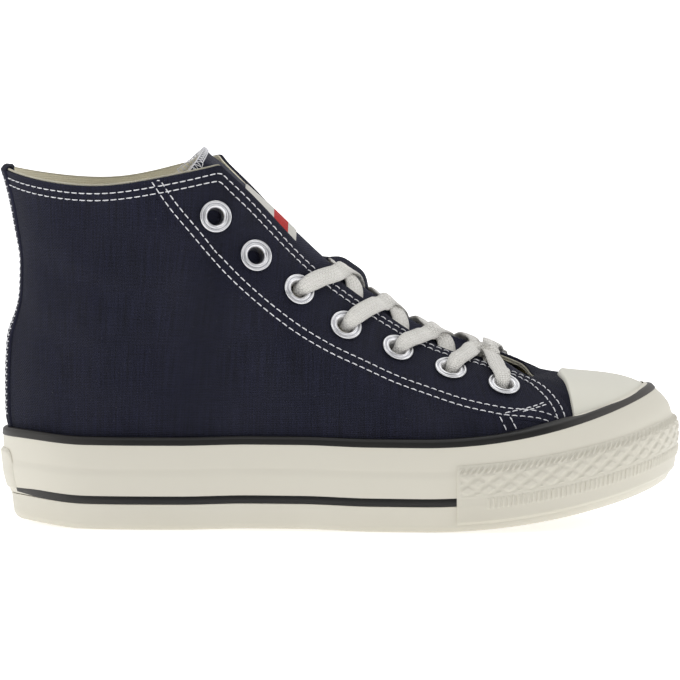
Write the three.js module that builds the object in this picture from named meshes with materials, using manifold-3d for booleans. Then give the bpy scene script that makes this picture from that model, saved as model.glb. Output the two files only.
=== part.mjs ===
// A right-foot high-top canvas sneaker on a platform sole, in millimetres.
// +X points to the toe, +Z up, and the lateral (little-toe) side is -Y. The shoe stands on z = 0.
import * as THREE from "three";
import { mergeVertices } from "three/addons/utils/BufferGeometryUtils.js";
import Module from "manifold-3d";

const wasm = await Module();
wasm.setup();

// ---------------------------------------------------------------- driving sizes
const LENGTH = 268; // outsole, toe bumper and heel label included
const BALL_WIDTH = 96; // across the sole at the ball
const INSTEP_TOP = 142.4; // height of the collar's front corners
const PLATFORM = 24; // top of the sole under the ball
const HEEL_LIFT = { rise: 2, full: -70, none: 10 }; // what the heel stands higher inside than the ball
const TOE_SPRING_START = 32;
const TOE_SPRING_RADIUS = 290;
const ARCH = { rise: 0.6, heelEnd: -62, high: [-35, -15], ballEnd: 12 }; // lift of the sole's waist, along x
const HEEL_BEVEL = { rise: 1.6, full: -128, none: -100 }; // lift of the sole's underside at the back

const FOXING_HEIGHT = 35.8; // ground to the top of the foxing at the ball
const FOXING_TOE_RISE = 5.2; // how much higher it is 100 mm ahead of the toe spring's start
const OUTSOLE_SHARE = 0.28; // of the foxing's height that is the outsole's own edge
const FEATHER_INSET = 5; // from the sole's outline to the edge of the last

const WALL = 2; // canvas and lining together
const GAP = 0.3; // between pieces that touch
const CAP_THICKNESS = 1.5;
const AROUND = 76; // steps round the shoe
const UP = 7; // steps from the sole to the top edge

// ---------------------------------------------------------------- the last
// A row for each section, from the toe tip to the back of the heel. x, lateral and medial give the sole's
// outline, and topX to topZ the upper's top edge, as shares of half the length, half the ball width and the
// instep's height. medialUp is how much higher the medial top edge is. belly and rise place the wall's lower
// handle outwards of and above the last's edge, and shoulder and drop its upper handle outwards of and below
// the top edge, in millimetres.
const COLUMNS = ["x", "lateral", "medial", "topX", "topLateral", "topMedial", "topZ", "medialUp",
  "belly", "rise", "shoulder", "drop"];
const SECTIONS = [
  [0.987, 0.104, 0.104, 0.575, 0.063, 0.063, 0.405, 0, -3.5, 17, 32, 0], // toe tip
  [0.908, -0.458, 0.62, 0.567, -0.083, 0.19, 0.405, 0.5, -3.5, 16.5, 29, 0.5],
  [0.769, -0.76, 0.865, 0.549, -0.198, 0.281, 0.411, 2.5, -2, 15.5, 20, 2], // toe cap's sides
  [0.612, -0.917, 0.969, 0.493, -0.25, 0.313, 0.428, 3.5, -0.5, 18, 16.5, 4],
  [0.433, -0.996, 1, 0.373, -0.25, 0.3, 0.464, 4, 1, 23, 17.5, 6], // ball
  [0.254, -0.992, 0.958, 0.25, -0.25, 0.29, 0.51, 3, 2, 26, 18, 8],
  [0.075, -0.927, 0.833, 0.097, -0.25, 0.28, 0.605, 2, 3, 32, 18, 12],
  [-0.104, -0.844, 0.729, -0.075, -0.27, 0.29, 0.732, 1, 4, 38, 18, 18], // instep
  [-0.269, -0.792, 0.688, -0.235, -0.365, 0.365, 0.893, 0.8, 5, 42, 15, 26],
  [-0.388, -0.771, 0.698, -0.335, -0.448, 0.448, 0.985, 1, 5, 45, 9, 34],
  [-0.47, -0.769, 0.715, -0.381, -0.51, 0.51, 1, 0.5, 4.5, 45, 6, 36], // collar's front corner
  [-0.597, -0.76, 0.735, -0.56, -0.652, 0.652, 0.959, -0.5, 3.5, 45, -1, 38],
  [-0.746, -0.694, 0.688, -0.731, -0.656, 0.656, 0.943, -0.5, 3.5, 45, -3, 38], // collar's lowest point
  [-0.896, -0.469, 0.469, -0.903, -0.427, 0.427, 0.959, 0, 5, 47, -9, 42],
  [-0.991, 0, 0, -0.99, 0, 0, 0.98, 0, 7, 49, -13, 44], // back of the heel
].map((row) => Object.fromEntries(COLUMNS.map((column, i) => [column, row[i]])));

const last = SECTIONS.length - 1;
// The toe and heel sections are met once and the others twice: along the lateral side, then the medial.
const LOOP = [
  ...SECTIONS.map((row) => ({ row, side: "lateral" })),
  ...SECTIONS.slice(1, last).reverse().map((row) => ({ row, side: "medial" })),
];

const smooth = (a, b, v) => THREE.MathUtils.smoothstep(v, a, b);

// The value in one column of a table, between its rows, where another column reaches at.
function readTable(table, key, at, column) {
  const after = Math.max(1, table.findIndex((row) => row[key] >= at));
  const [a, b] = [table[after - 1], table[after]];
  return THREE.MathUtils.mapLinear(at, a[key], b[key], a[column], b[column]);
}

const closed = (points) => new THREE.CatmullRomCurve3(points, true, "centripetal");

const toeSpring = (x) => Math.max(0, x - TOE_SPRING_START) ** 2 / (2 * TOE_SPRING_RADIUS);

// A lift that is whole behind x = full and gone ahead of x = none.
const liftAtHeel = ({ rise, full, none }, x) => rise * (1 - smooth(full, none, x));

// Underside of the sole: flat under heel and ball, raised at the waist, the toe and the back of the heel.
function bottomZ(x) {
  const [rear, front] = ARCH.high;
  const arch = ARCH.rise * smooth(ARCH.heelEnd, rear, x) * (1 - smooth(front, ARCH.ballEnd, x));
  return arch + toeSpring(x) + liftAtHeel(HEEL_BEVEL, x);
}

const footbedZ = (x) => PLATFORM + toeSpring(x) + liftAtHeel(HEEL_LIFT, x);

function foxingTopZ(x) {
  const ahead = Math.max(0, x - TOE_SPRING_START) / 100;
  return bottomZ(x) + FOXING_HEIGHT + FOXING_TOE_RISE * ahead ** 2;
}

const outlinePoints = LOOP.map(({ row, side }) =>
  new THREE.Vector3((row.x * LENGTH) / 2, (row[side] * BALL_WIDTH) / 2, 0));
const outline = closed(outlinePoints);

// Outward direction, in plan, of a closed curve that runs from the toe along the lateral side.
function outward(curve, s) {
  const step = 1e-3;
  const along = curve.getPoint((s + step) % 1).sub(curve.getPoint((s - step + 1) % 1));
  return new THREE.Vector3(-along.y, along.x, 0).normalize();
}

// The outline moved inwards by inset, at height z(x).
function outlineAt(s, inset, z) {
  const p = outline.getPoint(s).addScaledVector(outward(outline, s), -inset);
  return p.setZ(z(p.x));
}

// The upper's wall runs up four control curves: the last's edge, its belly, its shoulder and the top edge.
const CONTROLS = LOOP.map(({ row, side }, i) => {
  const n = outward(outline, i / LOOP.length);
  const edge = outlineAt(i / LOOP.length, FEATHER_INSET, (x) => footbedZ(x) + GAP);
  const topSide = side === "lateral" ? row.topLateral : row.topMedial;
  const topZ = row.topZ * INSTEP_TOP + (side === "medial" ? row.medialUp : 0);
  const top = new THREE.Vector3((row.topX * LENGTH) / 2, (topSide * BALL_WIDTH) / 2, topZ);
  const belly = edge.clone().addScaledVector(n, row.belly).add(new THREE.Vector3(0, 0, row.rise));
  const shoulder = top.clone().addScaledVector(n, row.shoulder).add(new THREE.Vector3(0, 0, -row.drop));
  return [edge, belly, shoulder, top];
});
const controlCurves = [0, 1, 2, 3].map((k) => closed(CONTROLS.map((c) => c[k])));

// Outer face of the upper: s runs round the shoe from the toe tip, t from the sole up to the top edge.
function wall(s, t) {
  const weights = [(1 - t) ** 3, 3 * t * (1 - t) ** 2, 3 * t * t * (1 - t), t ** 3];
  const p = new THREE.Vector3();
  controlCurves.forEach((curve, k) => p.addScaledVector(curve.getPoint(((s % 1) + 1) % 1), weights[k]));
  return p;
}

function wallNormal(s, t) {
  const step = 1e-3;
  const lower = Math.max(0, t - step);
  const up = wall(s, Math.min(1, t + step)).sub(wall(s, lower));
  const round = wall(s + step, t).sub(wall(s - step, t));
  return up.cross(round).normalize();
}

const wallAt = (s, t, offset) => wall(s, t).addScaledVector(wallNormal(s, t), offset);

// How far up the wall, at s, its points are first reached.
function wallShareAt(s, reached) {
  let low = 0;
  let high = 1;
  for (let i = 0; i < 24; i++) {
    const mid = (low + high) / 2;
    if (reached(wall(s, mid))) high = mid;
    else low = mid;
  }
  return low;
}

// The place on one side of the upper where miss, a measure of a point, is least.
function placeOnWall(miss, side) {
  const [from, to] = side === "lateral" ? [0, 0.5] : [0.5, 1];
  let best = { s: from, t: 0, miss: Infinity };
  const tryPlace = (s, t) => {
    const found = miss(wall(s, t));
    if (found < best.miss) best = { s, t, miss: found };
  };
  for (const s of steps(60, from, to)) for (const t of steps(30)) tryPlace(s, t);
  for (let step = 1 / 60; step > 1e-5; step /= 2)
    for (const ds of [-step, 0, step])
      for (const dt of [-step, 0, step]) tryPlace(best.s + ds, THREE.MathUtils.clamp(best.t + dt, 0, 1));
  return best;
}

// ---------------------------------------------------------------- solids from loops of points
function geometryOf(points, triangles) {
  const g = new THREE.BufferGeometry();
  g.setAttribute("position", new THREE.Float32BufferAttribute(points.flatMap((p) => p.toArray()), 3));
  g.setIndex(triangles.flat());
  return g;
}

// Joins neighbouring loops of as many points with triangles. Loops run clockwise as seen along the path.
function skin(loops, closePath) {
  const size = loops[0].length;
  const triangles = [];
  const steps = closePath ? loops.length : loops.length - 1;
  for (let i = 0; i < steps; i++) {
    const a = i * size;
    const b = ((i + 1) % loops.length) * size;
    for (let j = 0; j < size; j++) {
      const k = (j + 1) % size;
      triangles.push([a + j, a + k, b + j], [a + k, b + k, b + j]);
    }
  }
  return triangles;
}

// A closed tube of loops round the shoe.
const ring = (loops) => geometryOf(loops.flat(), skin(loops, true));

// Closes the end of a strip whose loop is a front row and, back to front, a rear row of as many points.
function endCap(start, size, flip) {
  const triangles = [];
  for (let j = 0; j < size / 2 - 1; j++) {
    const [a, b, c, d] = [start + j, start + j + 1, start + size - 2 - j, start + size - 1 - j];
    triangles.push(...(flip ? [[a, c, b], [a, d, c]] : [[a, b, c], [a, c, d]]));
  }
  return triangles;
}

// A strip from front and rear rows of points: rows[i] is [front points, rear points].
function strip(rows) {
  const loops = rows.map(([front, rear]) => [...front, ...[...rear].reverse()]);
  const size = loops[0].length;
  const triangles = skin(loops, false);
  triangles.push(...endCap(0, size, true), ...endCap((loops.length - 1) * size, size, false));
  return geometryOf(loops.flat(), triangles);
}

// A stack of outlines, each a loop round the shoe from the toe tip, closed at its foot and head.
function stack(rings) {
  const size = rings[0].length;
  const triangles = [];
  rings.slice(1).forEach((_, i) => {
    const [a, b] = [i * size, (i + 1) * size];
    for (let j = 0; j < size; j++) {
      const k = (j + 1) % size;
      triangles.push([a + j, b + j, a + k], [a + k, b + j, b + k]);
    }
  });
  const ladder = (start, flip) => {
    for (let j = 0; j < size / 2; j++) {
      const [a, b, c, d] = [j, j + 1, (size - j - 1) % size, (size - j) % size].map((k) => start + k);
      const faces = j === 0 ? [[a, b, c]] : j === size / 2 - 1 ? [[a, b, d]] : [[a, b, c], [a, c, d]];
      faces.forEach((f) => triangles.push(flip ? [f[0], f[2], f[1]] : f));
    }
  };
  ladder(0, false);
  ladder((rings.length - 1) * size, true);
  return geometryOf(rings.flat(), triangles);
}

function solid(geometry) {
  const bare = geometry.index ? geometry.toNonIndexed() : geometry.clone();
  bare.deleteAttribute("normal");
  bare.deleteAttribute("uv");
  const merged = mergeVertices(bare, 1e-4);
  return new wasm.Manifold(new wasm.Mesh({
    numProp: 3,
    vertProperties: merged.attributes.position.array,
    triVerts: new Uint32Array(merged.index.array),
  }));
}

function geometryFromSolid(s) {
  const mesh = s.getMesh();
  const g = new THREE.BufferGeometry();
  const xyz = new Float32Array(mesh.numVert * 3);
  for (let i = 0; i < mesh.numVert; i++)
    xyz.set(mesh.vertProperties.subarray(i * mesh.numProp, i * mesh.numProp + 3), i * 3);
  g.setAttribute("position", new THREE.BufferAttribute(xyz, 3));
  g.setIndex(new THREE.BufferAttribute(mesh.triVerts, 1));
  return g;
}

const steps = (count, from = 0, to = 1) =>
  Array.from({ length: count + 1 }, (_, i) => from + ((to - from) * i) / count);
const roundShoe = Array.from({ length: AROUND }, (_, i) => i / AROUND);

// ---------------------------------------------------------------- materials
const finish = (color, roughness, metalness = 0) =>
  new THREE.MeshStandardMaterial({ color, roughness, metalness });
const canvas = finish(0x20222e, 0.9);
const rubber = finish(0xd6d3c6, 0.5);
const lining = finish(0xc9c3a6, 0.95);
const cotton = finish(0xdedcd6, 0.95);
const nickel = finish(0xc8c8ca, 0.25, 1);

const shoe = new THREE.Group();
function addPiece(name, geometry, material) {
  const piece = new THREE.Mesh(geometry, material);
  piece.name = name;
  shoe.add(piece);
  return piece;
}

// ---------------------------------------------------------------- sole
const EDGE_SHARE = 0.07; // height of the rounding at the sole's foot
// Insets of the sole's side from its outline, at shares of the height up to the top of the foxing.
const SIDE = [
  { share: 0, side: 2.5, toe: 5, heel: 6.5 },
  { share: EDGE_SHARE, side: 1.1, toe: 1.6, heel: 4.3 },
  { share: OUTSOLE_SHARE, side: 0.2, toe: 0, heel: 3.4 },
  { share: 0.5, side: 0, toe: 0, heel: 1.3 },
  { share: 0.72, side: 0.2, toe: 1.8, heel: 0.4 },
  { share: 0.84, side: 0.7, toe: 4.6, heel: 0.1 },
  { share: 0.92, side: 1.1, toe: 7.2, heel: 0 },
  { share: 1, side: 1.4, toe: 9.3, heel: 0.2 },
];

const TOE_ZONE = [72, 131]; // x where the toe's insets set in and are whole
const HEEL_ZONE = [-130, -95];

// Inset of the sole's side at a share of its height, at x.
function sideInset(x, share) {
  const read = (column) => readTable(SIDE, "share", share, column);
  const toe = smooth(...TOE_ZONE, x);
  const heel = 1 - smooth(...HEEL_ZONE, x);
  return read("side") * (1 - toe - heel) + read("toe") * toe + read("heel") * heel;
}

// Point of the sole's side at a share of its height, standing proud of it.
function sideAt(s, share, proud = 0) {
  const inset = sideInset(outline.getPoint(s).x, share);
  return outlineAt(s, inset - proud, (x) => heightOf(x, share));
}

// A height above the sole's underside as a share of the way up to the top of the foxing, and back.
const shareOf = (x, height) => height / (foxingTopZ(x) - bottomZ(x));
const heightOf = (x, share) => THREE.MathUtils.lerp(bottomZ(x), foxingTopZ(x), share);

// Outsole and platform in one: a full-width edge that the foxing stands on, and the core that it wraps.
function outsoleGeometry() {
  const rings = [
    roundShoe.map((s) => sideAt(s, 0)),
    roundShoe.map((s) => sideAt(s, EDGE_SHARE)),
    roundShoe.map((s) => sideAt(s, OUTSOLE_SHARE)),
    roundShoe.map((s) => outlineAt(s, FEATHER_INSET, (x) => heightOf(x, OUTSOLE_SHARE))),
    roundShoe.map((s) => outlineAt(s, FEATHER_INSET, footbedZ)),
  ];
  let made = solid(stack(rings));
  for (const groove of treadGrooves()) made = made.subtract(solid(groove));
  return geometryFromSolid(made);
}

const GROOVE_DEPTH = 1.4;
const GROOVE_WIDTH = 2.6;
// Groove places along the sole, in two groups, and the rim of the outsole that they leave whole.
const GROOVES = [
  { from: -112, to: -70, count: 4 },
  { from: 22, to: 106, count: 7 },
];
const GROOVE_RIM = 11;

// y of the outline at x, on the half of the way round that starts at from.
function outlineY(x, from) {
  const points = steps(200, from, from + 0.5).map((s) => outline.getPoint(s % 1));
  return points.reduce((a, b) => (Math.abs(b.x - x) < Math.abs(a.x - x) ? b : a)).y;
}

function treadGrooves() {
  return GROOVES.flatMap(({ from, to, count }) => steps(count - 1, from, to).map((x) => {
    const [lateral, medial] = [outlineY(x, 0), outlineY(x, 0.5)];
    const length = medial - lateral - 2 * GROOVE_RIM;
    const box = new THREE.BoxGeometry(GROOVE_WIDTH, length, 2 * GROOVE_DEPTH);
    const slope = Math.atan(Math.max(0, x - TOE_SPRING_START) / TOE_SPRING_RADIUS);
    box.rotateY(-slope);
    box.translate(x, (lateral + medial) / 2, bottomZ(x));
    return box;
  }));
}

addPiece("outsole", outsoleGeometry(), rubber);

// The foxing: a rubber band that stands on the outsole's edge and holds the foot of the upper. Towards the
// toe it makes room for the cap's foot.
const CAP_ROOM = [62, 80]; // x where that room sets in and is whole
function foxingGeometry() {
  return ring(roundShoe.map((s) => {
    const foot = OUTSOLE_SHARE + shareOf(outline.getPoint(s).x, GAP);
    const shares = SIDE.map(({ share }) => share).filter((share) => share > OUTSOLE_SHARE);
    const outer = [foot, ...shares].map((share) => sideAt(s, share));
    const underCap = smooth(...CAP_ROOM, wall(s, 0).x) * (CAP_THICKNESS + 2 * GAP);
    const top = wallShareAt(s, (p) => p.z > foxingTopZ(p.x));
    const inner = [1, 0.82, 0.5].map((share) => wallAt(s, top * share, GAP + underCap));
    const toCore = outlineAt(s, FEATHER_INSET - GAP, (x) => heightOf(x, OUTSOLE_SHARE) + GAP);
    const atCore = outlineAt(s, FEATHER_INSET - GAP, footbedZ);
    return [...outer, ...inner, atCore, toCore];
  }));
}
addPiece("foxing", foxingGeometry(), rubber);

// Strip that wraps the sole's side round a middle place, through the shares of its height from shares(x).
function sideStrip({ middle, reach, count, thickness }, shares) {
  return strip(steps(count, middle - reach, middle + reach).map((at) => {
    const s = (at + 1) % 1;
    const heights = shares(outline.getPoint(s).x);
    return [GAP + thickness, GAP].map((proud) => heights.map((share) => sideAt(s, share, proud)));
  }));
}

// Reaches are shares of the way round to each side of the middle, and heights are above the underside.
const BUMPER = { middle: 0, reach: 12 / AROUND, count: 24, thickness: 1.1, sideTop: 26.5, tipTop: 29 };
function bumperShares(x) {
  const top = THREE.MathUtils.lerp(BUMPER.sideTop, BUMPER.tipTop, smooth(...TOE_ZONE, x));
  return [EDGE_SHARE, OUTSOLE_SHARE, 0.5, shareOf(x, top)];
}
addPiece("toe_bumper", sideStrip(BUMPER, bumperShares), rubber);

const LABEL = { middle: 0.5, reach: 2 / AROUND, count: 8, thickness: 1, foot: 11.9, head: 28 };
const labelShares = (x) => steps(2, LABEL.foot, LABEL.head).map((height) => shareOf(x, height));
addPiece("heel_label", sideStrip(LABEL, labelShares), rubber);

const INSOLE_THICKNESS = 3;
const INSOLE_INSET = FEATHER_INSET + WALL + 1;
addPiece("insole", stack([0, INSOLE_THICKNESS].map((up) =>
  roundShoe.map((s) => outlineAt(s, INSOLE_INSET, (x) => footbedZ(x) + GAP + up)))), lining);

// ---------------------------------------------------------------- eyelets
// The lateral eyelets' places as seen from the side. The medial ones stand higher by the medial edge's lift.
const EYELETS = [
  { x: -48.6, z: 122.1 },
  { x: -32.9, z: 106.7 },
  { x: -16.2, z: 93.1 },
  { x: 2.2, z: 79 },
  { x: 22.5, z: 69.9 },
  { x: 43.3, z: 61.8 },
  { x: 64.2, z: 55.9 },
];
const MEDIAL_LIFT = 3; // of the medial eyelets at the toe end, falling away up the instep
const EYELET_SIDES = 10;
const EYELET_BORE = 3; // radius that the lace runs through
const EYELET_BARREL = 3.6;
const EYELET_HOLE = 4; // radius of the hole in the canvas
const FLANGE = { radius: 6.3, crownRadius: 4.5, crown: 1.25, edge: 0.8, under: 0.35 };
const WASHER = { radius: 5, top: -WALL - 0.8, foot: -WALL - 1.3 };

const eyeletPlaces = ["lateral", "medial"].flatMap((side) => EYELETS.map(({ x, z }, i) => {
  const lift = side === "medial" ? MEDIAL_LIFT * smooth(-30, 45, x) : 0;
  const { s, t } = placeOnWall((p) => Math.hypot(p.x - x, p.z - z - lift), side);
  return { name: `eyelet_${side}_${i + 1}`, side, row: i, s, t, at: wall(s, t), normal: wallNormal(s, t) };
}));

// Turns and moves a shape made round +Z so that it stands on the wall at a place.
function standOn(object, place) {
  object.quaternion.setFromUnitVectors(new THREE.Vector3(0, 0, 1), place.normal);
  object.position.copy(place.at);
}

function eyeletGeometry() {
  const profile = [
    [EYELET_BORE, WASHER.foot], [WASHER.radius, WASHER.foot], [WASHER.radius, WASHER.top],
    [EYELET_BARREL, WASHER.top], [EYELET_BARREL, FLANGE.under], [FLANGE.radius, FLANGE.under],
    [FLANGE.crownRadius, FLANGE.crown], [EYELET_BORE, FLANGE.edge], [EYELET_BORE, WASHER.foot],
  ];
  const lathe = new THREE.LatheGeometry(profile.map(([r, z]) => new THREE.Vector2(r, z)), EYELET_SIDES);
  return geometryFromSolid(solid(lathe.rotateX(Math.PI / 2)));
}
for (const place of eyeletPlaces) standOn(addPiece(place.name, eyeletGeometry(), nickel), place);

// ---------------------------------------------------------------- upper
function upperGeometry() {
  const heights = steps(UP);
  const shell = ring(roundShoe.map((s) => [
    ...heights.map((t) => wallAt(s, t, 0)),
    ...[...heights].reverse().map((t) => wallAt(s, t, -WALL)),
  ]));
  let made = solid(shell);
  for (const place of eyeletPlaces) {
    const rod = new THREE.CylinderGeometry(EYELET_HOLE, EYELET_HOLE, 4 * WALL, EYELET_SIDES);
    const punch = new THREE.Mesh(rod.rotateX(Math.PI / 2));
    standOn(punch, place);
    punch.updateMatrixWorld();
    made = made.subtract(solid(punch.geometry.applyMatrix4(punch.matrixWorld)));
  }
  return geometryFromSolid(made);
}
addPiece("upper", upperGeometry(), canvas);

// Toe cap: rubber over the toe of the upper, from behind the foxing back to its rear edge, which is swept
// forward to both sides of middleY.
const CAP = { rearX: 86, sweep: 6, middleY: 3, halfWidth: 38, power: 1.6, foot: 6, across: 20, up: 6 };
const CAP_END = { reach: 0.2, room: 2, leastShare: 0.02 }; // where the cap runs out on each side
function capRearX(p) {
  return CAP.rearX + CAP.sweep * Math.min(1, Math.abs(p.y - CAP.middleY) / CAP.halfWidth) ** CAP.power;
}

function toeCapGeometry() {
  const foot = (s) => wallShareAt(s, (p) => p.z > foxingTopZ(p.x) - CAP.foot);
  const sideEnd = (side) => {
    let [low, high] = [0, side === "lateral" ? CAP_END.reach : -CAP_END.reach];
    for (let i = 0; i < 30; i++) {
      const mid = (low + high) / 2;
      const p = wall(mid, foot(mid));
      if (p.x > capRearX(p) + CAP_END.room) low = mid;
      else high = mid;
    }
    return low;
  };
  return strip(steps(CAP.across, sideEnd("medial"), sideEnd("lateral")).map((s) => {
    const low = foot(s);
    const high = wallShareAt(s, (p) => p.x < capRearX(p));
    const shares = steps(CAP.up, low, Math.max(high, low + CAP_END.leastShare));
    return [GAP + CAP_THICKNESS, GAP].map((offset) => shares.map((t) => wallAt(s, t, offset)));
  }));
}
addPiece("toe_cap", toeCapGeometry(), rubber);

// ---------------------------------------------------------------- tongue
const TONGUE_THICKNESS = 2;
const TONGUE_DEPTH = WALL + 2.6; // outer face under the eyestays, with room for a lace between
// How far it stands up between the eyestays and reaches in under each of them, k sections from the toe tip.
const TONGUE_SHAPE = [
  { k: 3, fullness: 0.46, tuck: 14 },
  { k: 5, fullness: 0.5, tuck: 14 },
  { k: 6.5, fullness: 0.64, tuck: 17 },
  { k: 7.4, fullness: 0.52, tuck: 22 },
  { k: 8.2, fullness: 0.3, tuck: 25 },
  { k: 9.4, fullness: 0.14, tuck: 25 },
];
const TONGUE_FOOT = [{ x: 86, halfWidth: 15 }, { x: 78, halfWidth: 18 }]; // rows under the vamp
const TONGUE_ROWS = { from: 3, to: 9.2, count: 12 }; // rows in the throat, in sections from the toe tip
// The free edge at its head: the peak on the centre line, and where it ends inside the collar on each side.
const TONGUE_HEAD = { peak: [-53.5, 0, 149.5], lateral: [-60.5, -23.4, 137.5], medial: [-66, 24, 136] };
const HEAD_ROWS = 3;
const TONGUE_ACROSS = 6; // steps over the throat, with three more under each eyestay
const UNDER_STAY = 3;

// Place round the shoe, on each side, k sections from the toe tip.
const lateralShare = (k) => k / LOOP.length;
const medialShare = (k) => 1 - k / LOOP.length;

// Points under one eyestay, from the tongue's side edge up to the eyestay's edge.
function underEyestay(s, offset, tuck) {
  const length = wall(s, 1).distanceTo(wall(s, 0.8)) * 5;
  return steps(UNDER_STAY, 1 - tuck / length, 1).map((t) => wallAt(s, t, -offset));
}

// One row of the tongue: under the lateral eyestay, over the throat, under the medial eyestay.
function tongueRow(k, offset) {
  const [fullness, tuck] = ["fullness", "tuck"].map((column) => readTable(TONGUE_SHAPE, "k", k, column));
  const lateral = underEyestay(lateralShare(k), offset, tuck);
  const medial = underEyestay(medialShare(k), offset, tuck).reverse();
  const [a, b] = [lateral[UNDER_STAY], medial[0]];
  const reach = a.distanceTo(b) * fullness;
  const leave = a.clone().sub(lateral[UNDER_STAY - 1]).setLength(reach);
  const arrive = b.clone().sub(medial[1]).setLength(reach);
  const bridge = new THREE.CubicBezierCurve3(a, a.clone().add(leave), b.clone().add(arrive), b);
  return [...lateral, ...steps(TONGUE_ACROSS).slice(1, -1).map((u) => bridge.getPoint(u)), ...medial];
}

// A row straight across under the vamp, which the tongue is sewn to.
function tongueFootRow({ x, halfWidth }, offset) {
  return steps(TONGUE_ACROSS + 2 * UNDER_STAY, -halfWidth, halfWidth).map((y) => {
    const { s, t } = placeOnWall((p) => Math.hypot(p.x - x, p.y - y), y < 0 ? "lateral" : "medial");
    return wallAt(s, t, -offset);
  });
}

// The head's free edge, bent back from its peak to both sides, in inside its front face.
function tongueHeadRow(inside) {
  const peak = new THREE.Vector3(...TONGUE_HEAD.peak).add(new THREE.Vector3(-inside, 0, 0));
  return steps(TONGUE_ACROSS + 2 * UNDER_STAY, -1, 1).map((across) => {
    const end = new THREE.Vector3(...TONGUE_HEAD[across < 0 ? "lateral" : "medial"]);
    end.y -= Math.sign(end.y) * inside;
    const away = Math.abs(across);
    const bend = new THREE.Vector3(away ** 2.2, Math.sin((away * Math.PI) / 2), away ** 1.9);
    return end.sub(peak).multiply(bend).add(peak);
  });
}

function tongueRows(offset) {
  const { from, to, count } = TONGUE_ROWS;
  const rows = TONGUE_FOOT.map((foot) => tongueFootRow(foot, offset));
  rows.push(...steps(count, from, to).map((k) => tongueRow(k, offset)));
  const neck = rows.at(-1);
  const head = tongueHeadRow(offset - TONGUE_DEPTH);
  for (const share of steps(HEAD_ROWS).slice(1))
    rows.push(neck.map((p, i) => p.clone().lerp(head[i], share)));
  return rows;
}
const tongueFront = tongueRows(TONGUE_DEPTH);
const tongueRear = tongueRows(TONGUE_DEPTH + TONGUE_THICKNESS);
addPiece("tongue", strip(tongueFront.map((front, i) => [front, tongueRear[i]])), canvas);

// ---------------------------------------------------------------- laces
const LACE = { width: 7, thickness: 1.4, clear: 0.6 };
// Each crossing starts from one row of eyelets, counted from the top. over is how far ahead of its eyelet a
// run crosses its own edge of the throat, and under how far ahead of the next one it slips beneath the other.
const CROSSINGS = [
  { row: 2, over: 13, under: 8 },
  { row: 3, over: 12, under: 8 },
  { row: 4, over: 10.5, under: 7 },
  { row: 5, over: 7.5, under: 3 },
];
const BAR_BEHIND = 4; // how far behind its eyelets the lowest, straight bar crosses the edges
const eyelet = (side, row) => eyeletPlaces.find((p) => p.side === side && p.row === row);
const otherSide = { lateral: "medial", medial: "lateral" };

// The place round the shoe where the top edge passes x on one side of the throat.
function edgeShareAt(x, side) {
  const share = side === "lateral" ? lateralShare : medialShare;
  let [low, high] = [1.5, 10];
  for (let i = 0; i < 30; i++) {
    const mid = (low + high) / 2;
    if (wall(share(mid), 1).x > x) low = mid;
    else high = mid;
  }
  return share(low);
}

// A knot that lies over the tongue at x, on its crest or on one of its columns of points to a side of it.
const crestColumn = Math.floor(tongueFront[0].length / 2);
function onTongue(x, lift, columnsAside = 0) {
  const column = crestColumn + columnsAside;
  const after = tongueFront.findIndex((row) => row[column].x < x);
  const [a, b] = [tongueFront[after - 1], tongueFront[after]];
  const along = b[column].clone().sub(a[column]);
  const up = along.clone().cross(a[column + 1].clone().sub(a[column - 1])).normalize();
  up.multiplyScalar(Math.sign(up.z));
  const at = a[column].clone().addScaledVector(along, (a[column].x - x) / (a[column].x - b[column].x));
  return { at: at.addScaledVector(up, lift), up };
}

// A flat cord whose underside runs through points, with the given directions up.
function flatCord(knots) {
  const count = 8;
  const path = new THREE.CatmullRomCurve3(knots.map(({ at }) => at));
  const ups = new THREE.CatmullRomCurve3(knots.map(({ up }) => up));
  return strip(steps(count).map((u) => {
    const along = path.getTangentAt(u);
    const up = ups.getPoint(path.getUtoTmapping(u)).normalize();
    const across = along.clone().cross(up).setLength(LACE.width / 2);
    const lift = across.clone().cross(along).setLength(LACE.thickness);
    const at = path.getPointAt(u);
    const low = [at.clone().sub(across), at.clone().add(across)];
    return [low.map((p) => p.clone().add(lift)), low];
  }));
}

// Knots from above an eyelet to the throat's edge, the cord lying on the eyestay.
function overEyestay(from, edgeX) {
  const s = edgeShareAt(edgeX, from.side);
  const onWay = (share, lift) => {
    const [ms, mt] = [THREE.MathUtils.lerp(from.s, s, share), THREE.MathUtils.lerp(from.t, 1, share)];
    return { at: wallAt(ms, mt, lift), up: wallNormal(ms, mt) };
  };
  return [onWay(0, FLANGE.crown + 2 * GAP), onWay(0.5, FLANGE.crown + 2 * GAP), onWay(0.98, 2 * LACE.clear)];
}

// Knots from under the other edge of the throat to a little way under the eyestay.
function underEdge(side, edgeX) {
  const s = edgeShareAt(edgeX, side);
  const depth = TONGUE_DEPTH - LACE.clear;
  return [1, 0.94].map((t) => ({ at: wallAt(s, t, -depth), up: wallNormal(s, t) }));
}

// One run of a crossing, from an eyelet over its own eyestay to under the other one, beside the next eyelet.
function laceRun(side, { row, over, under }) {
  const [from, next] = [eyelet(side, row), eyelet(otherSide[side], row + 1)];
  const [overX, underX] = [from.at.x + over, next.at.x + under];
  const farColumns = side === "lateral" ? 2 : -2;
  return flatCord([
    ...overEyestay(from, overX),
    onTongue((overX + underX) / 2, LACE.clear),
    onTongue(underX - 1, LACE.clear, farColumns),
    ...underEdge(next.side, underX),
  ]);
}

for (const crossing of CROSSINGS) {
  const joined = solid(laceRun("lateral", crossing)).add(solid(laceRun("medial", crossing)));
  addPiece(`lace_crossing_${crossing.row + 1}`, geometryFromSolid(joined), cotton);
}

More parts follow.
